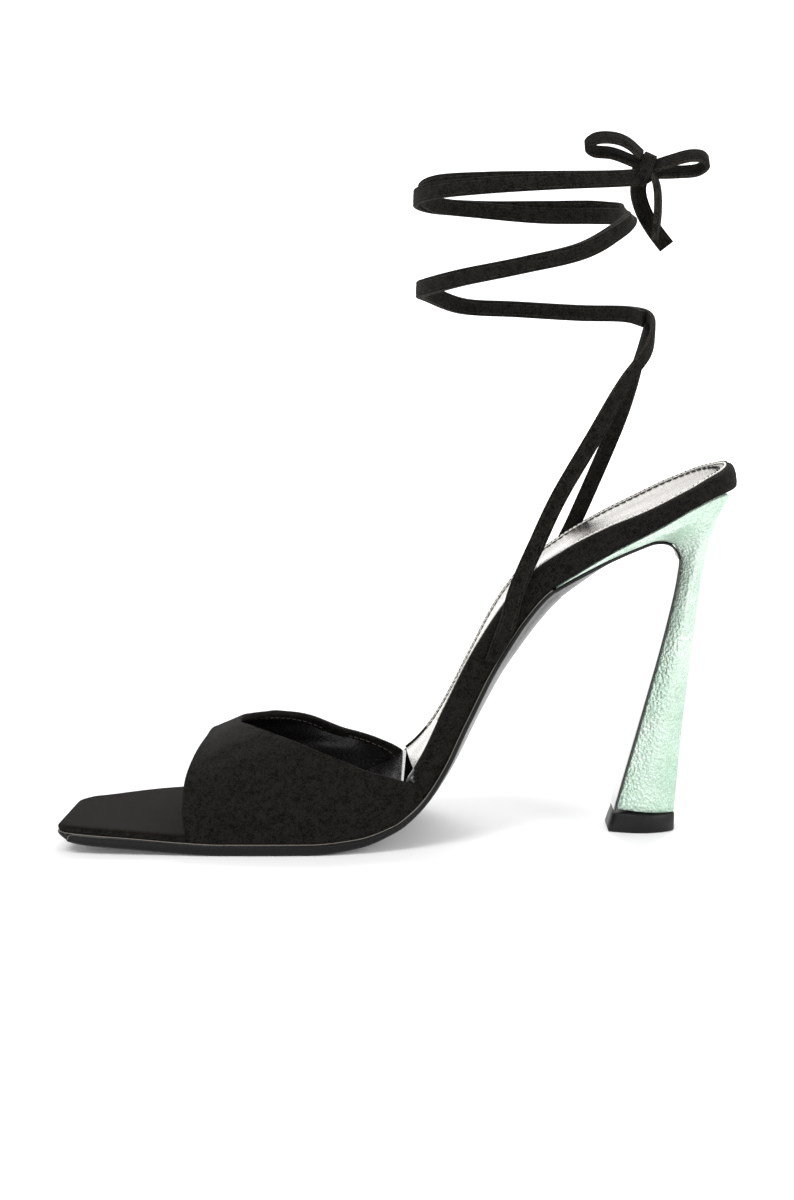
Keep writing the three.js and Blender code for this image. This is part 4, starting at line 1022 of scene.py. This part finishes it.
def make_straps():
    lap = 0.2
    outer = [wrap_point(row, 0, 0) for row in WRAPS]
    inner = [wrap_point(row, STRAP_THICKNESS - lap, 1) for row in WRAPS if row[0] > 0]
    medial = rise(MEDIAL_RISE, MEDIAL, 0.648, 0.9, outer[0])
    ankle_back = wrap_point((2, 0.782, 0, 1.12), STRAP_THICKNESS - lap, 0)
    lateral = rise(LATERAL_RISE, LATERAL, 0.7285, -0.5, ankle_back)
    long_path = Curve([*medial, *outer]).even(700)
    side_path = Curve(lateral).even(190)
    inner_path = Curve(inner).even(560)
    # The strap is twisted a little where it turns back towards the front for the second time.
    number = np.arange(len(long_path))
    level = (long_path[:, 2] > TWIST_LOW) & (long_path[:, 2] < TWIST_HIGH)
    beyond = number - number[level][np.argmax(long_path[level, 0])]
    twist = 0.95 * np.exp(-(((beyond - 4) / 9) ** 2)) - 0.45 * np.exp(-(((beyond - 26) / 10) ** 2))
    parts = [
        ribbon(long_path, rising_face(MEDIAL, long_path), twist=twist, ripple=0.65, phase=0.4),
        ribbon(side_path, rising_face(LATERAL, side_path), ripple=0.6, phase=1.9),
        ribbon(inner_path, from_ankle(inner_path), ripple=0.65, phase=3.3),
    ]
    points, faces = merged(parts)
    which = np.concatenate([edge_faces(len(path)) for path in (long_path, side_path, inner_path)])
    return mesh_object("ankle_ties", above_sole(points), faces, [suede, highlit_edge_suede], which)


knot_middle = np.array([TOE_X + 0.8505 * LENGTH, -0.19 * WRAP_WIDTH, 1.019 * WRAP_HEIGHT])
BOW_LEAN = math.radians(38)
bow_across = np.array([0, math.cos(BOW_LEAN), math.sin(BOW_LEAN)])
bow_up = np.array([0, -math.sin(BOW_LEAN), math.cos(BOW_LEAN)])
# The bow's loops: along, up, lift
FRONT_LOOP = [
    (-0.05, 0.08, 0.36), (-0.28, 0.35, 0.52), (-0.5, 0.42, 0.62), (-0.78, 0.32, 0.68),
    (-0.905, 0, 0.73), (-0.8, -0.3, 0.8), (-0.5, -0.32, 0.74), (-0.05, -0.08, 0.2),
]
BACK_LOOP = [
    (0.05, 0.08, -0.05), (0.4, 0.34, -0.02), (0.72, 0.39, 0.1), (0.91, 0.25, 0.17),
    (0.98, -0.04, 0.22), (0.86, -0.3, 0.22), (0.5, -0.3, 0.14), (0.05, -0.08, -0.05),
]
# The free ends: along, out, down
BACK_TAIL = [(-0.02, 1.5, 0), (-0.08, 3, 0.3), (0, 3, 0.58), (0.17, 2.6, 0.85), (0.38, 2, 1.1)]
FRONT_TAIL = [(0.1, -1, 0), (0.19, -2, 0.25), (0.21, -2.2, 0.6), (0.17, -1.8, 1)]


def make_bow():
    parts, which = [], []
    for rows, phase in ((FRONT_LOOP, 0.7), (BACK_LOOP, 2.2)):
        line = [
            knot_middle + np.array([a * BOW_LENGTH / 2, 0, lift * BOW_HEIGHT]) + bow_up * up * BOW_HEIGHT
            for a, up, lift in rows
        ]
        path = Curve(line).even(150)
        parts.append(ribbon(path, np.cross(bow_across, directions(path)), ripple=0.3, phase=phase))
        which.append(edge_faces(len(path)))
    for rows, face in ((BACK_TAIL, (0.3, -1, 0)), (FRONT_TAIL, (3, -1, 0))):
        line = [
            knot_middle + np.array([a * BOW_LENGTH / 2, out, -down * TAIL_LENGTH])
            for a, out, down in rows
        ]
        path = Curve(line).even(90)
        parts.append(ribbon(path, np.tile(face, (len(path), 1)), ripple=0.3, phase=face[0]))
        which.append(edge_faces(len(path)))
    # The turn of ribbon that ties the knot.
    a = np.linspace(0, 2 * np.pi, 100)
    lean = np.array([0.45, 0, 1.0]) / math.hypot(0.45, 1)
    turn = np.outer(np.sin(a) * 0.72, [0, 1, 0]) + np.outer(np.cos(a) * 0.86, lean)
    band = knot_middle + STRAP_WIDTH * turn
    width = STRAP_WIDTH * 0.78
    parts.append(ribbon(band, band - knot_middle, width=width, thickness=1.3, ripple=0.6, phase=0.9))
    which.append(edge_faces(len(band)))
    # The knot: a flattened ball with soft folds that run over it from front to back.
    rings = []
    for v in np.linspace(0.02, np.pi - 0.02, 40):
        u = np.linspace(0, 2 * np.pi, 64, endpoint=False)
        ball = np.stack([np.sin(v) * np.cos(u), np.sin(v) * np.sin(u), np.cos(v) + 0 * u], -1)
        fold = 1 - 0.05 * np.abs(np.sin(2.2 * ball[:, 2] * np.pi + 1.3 * ball[:, 0])) * np.sin(v)
        rings.append(knot_middle + ball * fold[:, None] * STRAP_WIDTH * np.array([0.77, 0.6, 0.89]))
    parts.append(loft(np.array(rings)))
    which.append(np.zeros(len(parts[-1][1]), int))
    return mesh_object("bow_ribbons", *merged(parts), [suede, highlit_edge_suede], np.concatenate(which))


# Edge lines


def make_sole_line():
    """A pale line along the sole's upper edge, under the suede: a painted highlight."""
    edge_body = body_stations(TOE_X + TOE_CORNER, TOE_X + 0.725 * LENGTH, 260)
    stations = Sections(np.linspace(0, 90, 12), edge_body, [])
    parts = []
    for side in (MEDIAL, LATERAL):
        x, y = stations.rim(side, 0.25)
        parts.append(tube(on_last(x, y, -0.15), 0.15, 8))
    return mesh_object("sole_edge_line", *merged(parts), [sole_edge_highlight])


# Dress the part

for piece, node, slot in (
    (make_outsole(), "outsole", "sole_leather"),
    (make_footbed(), "footbed", "black_suede"),
    (make_sock(), "insole_sock", "silver_leather"),
    (make_vamp(), "vamp", "black_suede"),
    (make_straps(), "ankle_straps", "black_suede"),
    (make_bow(), "bow", "black_suede"),
    (make_heel(), "heel", "mint_leather"),
    (make_tip(), "top_piece", "heel_rubber"),
):
    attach(piece, "root")
    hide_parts(node)

for piece in (make_sock_stitches(), make_sock_rim_glints(), make_vamp_stitches(), make_sole_line()):
    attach(piece, "root")

# Floor, light and camera


def make_floor():
    """A white floor that bends up into a far wall. Its glow grows with the distance from the shoe."""
    wide, deep, high, bend = 9.0, 6.0, 5.0, 1.6
    profile = [(-deep, 0.0)]
    for a in np.linspace(0, np.pi / 2, 24):
        profile.append((deep - bend + bend * math.sin(a), bend * (1 - math.cos(a))))
    profile.append((deep, high))
    points, faces = [], []
    for y, z in profile:
        points += [(-wide, y, z), (wide, y, z)]
    for i in range(len(profile) - 1):
        faces.append((2 * i, 2 * i + 1, 2 * i + 3, 2 * i + 2))
    mesh = bpy.data.meshes.new("studio_floor")
    mesh.from_pydata(points, [], faces)
    mesh.polygons.foreach_set("use_smooth", [True] * len(mesh.polygons))
    white, tree, shader = material(
        "studio_white", base_color=(0.86, 0.86, 0.86, 1), roughness=0.9, specular_ior_level=0.1,
        emission_color=(1, 1, 1, 1),
    )
    place = add(tree, "TexCoord")
    reach = add(tree, "VectorMath", operation="LENGTH")
    link(place.outputs["Object"], reach.inputs[0])
    glow = spread(tree, reach.outputs["Value"], 0.08, 0.8, 0.2, 1.6)
    link(glow, shader.inputs["Emission Strength"])
    mesh.materials.append(white)
    put("studio_floor", mesh)


def area(name, place, target, size, power):
    """A round lamp at place that shines at target."""
    light = bpy.data.lights.new(name, "AREA")
    light.shape, light.size, light.energy = "DISK", size, power
    lamp = put(name, light)
    lamp.location = place
    lamp.rotation_euler = (Vector(target) - Vector(place)).to_track_quat("-Z", "Y").to_euler()


make_floor()
area("key", (-0.9, -1.1, 1.9), (0, 0, 0.08), 1.0, 26)
area("fill", (1.5, -1.2, 1.0), (0, 0, 0.1), 0.8, 12)
area("back", (0.4, 1.5, 1.6), (0, 0, 0.1), 1.2, 24)

# A white room, darker straight above so that the upward faces keep their tone.
world = bpy.data.worlds.new("studio")
world.use_nodes = True
tree = world.node_tree
way = add(tree, "TexCoord")
split = add(tree, "SeparateXYZ")
link(way.outputs["Generated"], split.inputs["Vector"])
front = spread(tree, split.outputs["Y"], 0.92, 1.0, -0.5, 0.35)
over = spread(tree, split.outputs["Z"], 1.1, 0.5, 0.4, 0.95)
both = add(tree, "Math", operation="MULTIPLY")
link(front, both.inputs[0])
link(over, both.inputs[1])
link(both.outputs["Value"], tree.nodes["Background"].inputs["Color"])
tree.nodes["Background"].inputs["Strength"].default_value = 0.9
bpy.context.scene.world = world

bpy.context.scene.view_settings.view_transform = "Standard"

# The photo's view: from the medial side, a little from above.
EYE = (-0.001025, -0.8, 0.2)
LOOKS_DOWN = 8.8
LENS = 74.16
camera = bpy.data.cameras.new("camera")
camera.lens, camera.sensor_width, camera.sensor_fit = LENS, 36, "AUTO"
eye = put("camera", camera)
eye.location = EYE
eye.rotation_euler = (math.radians(90 - LOOKS_DOWN), 0, 0)
bpy.context.scene.camera = eye
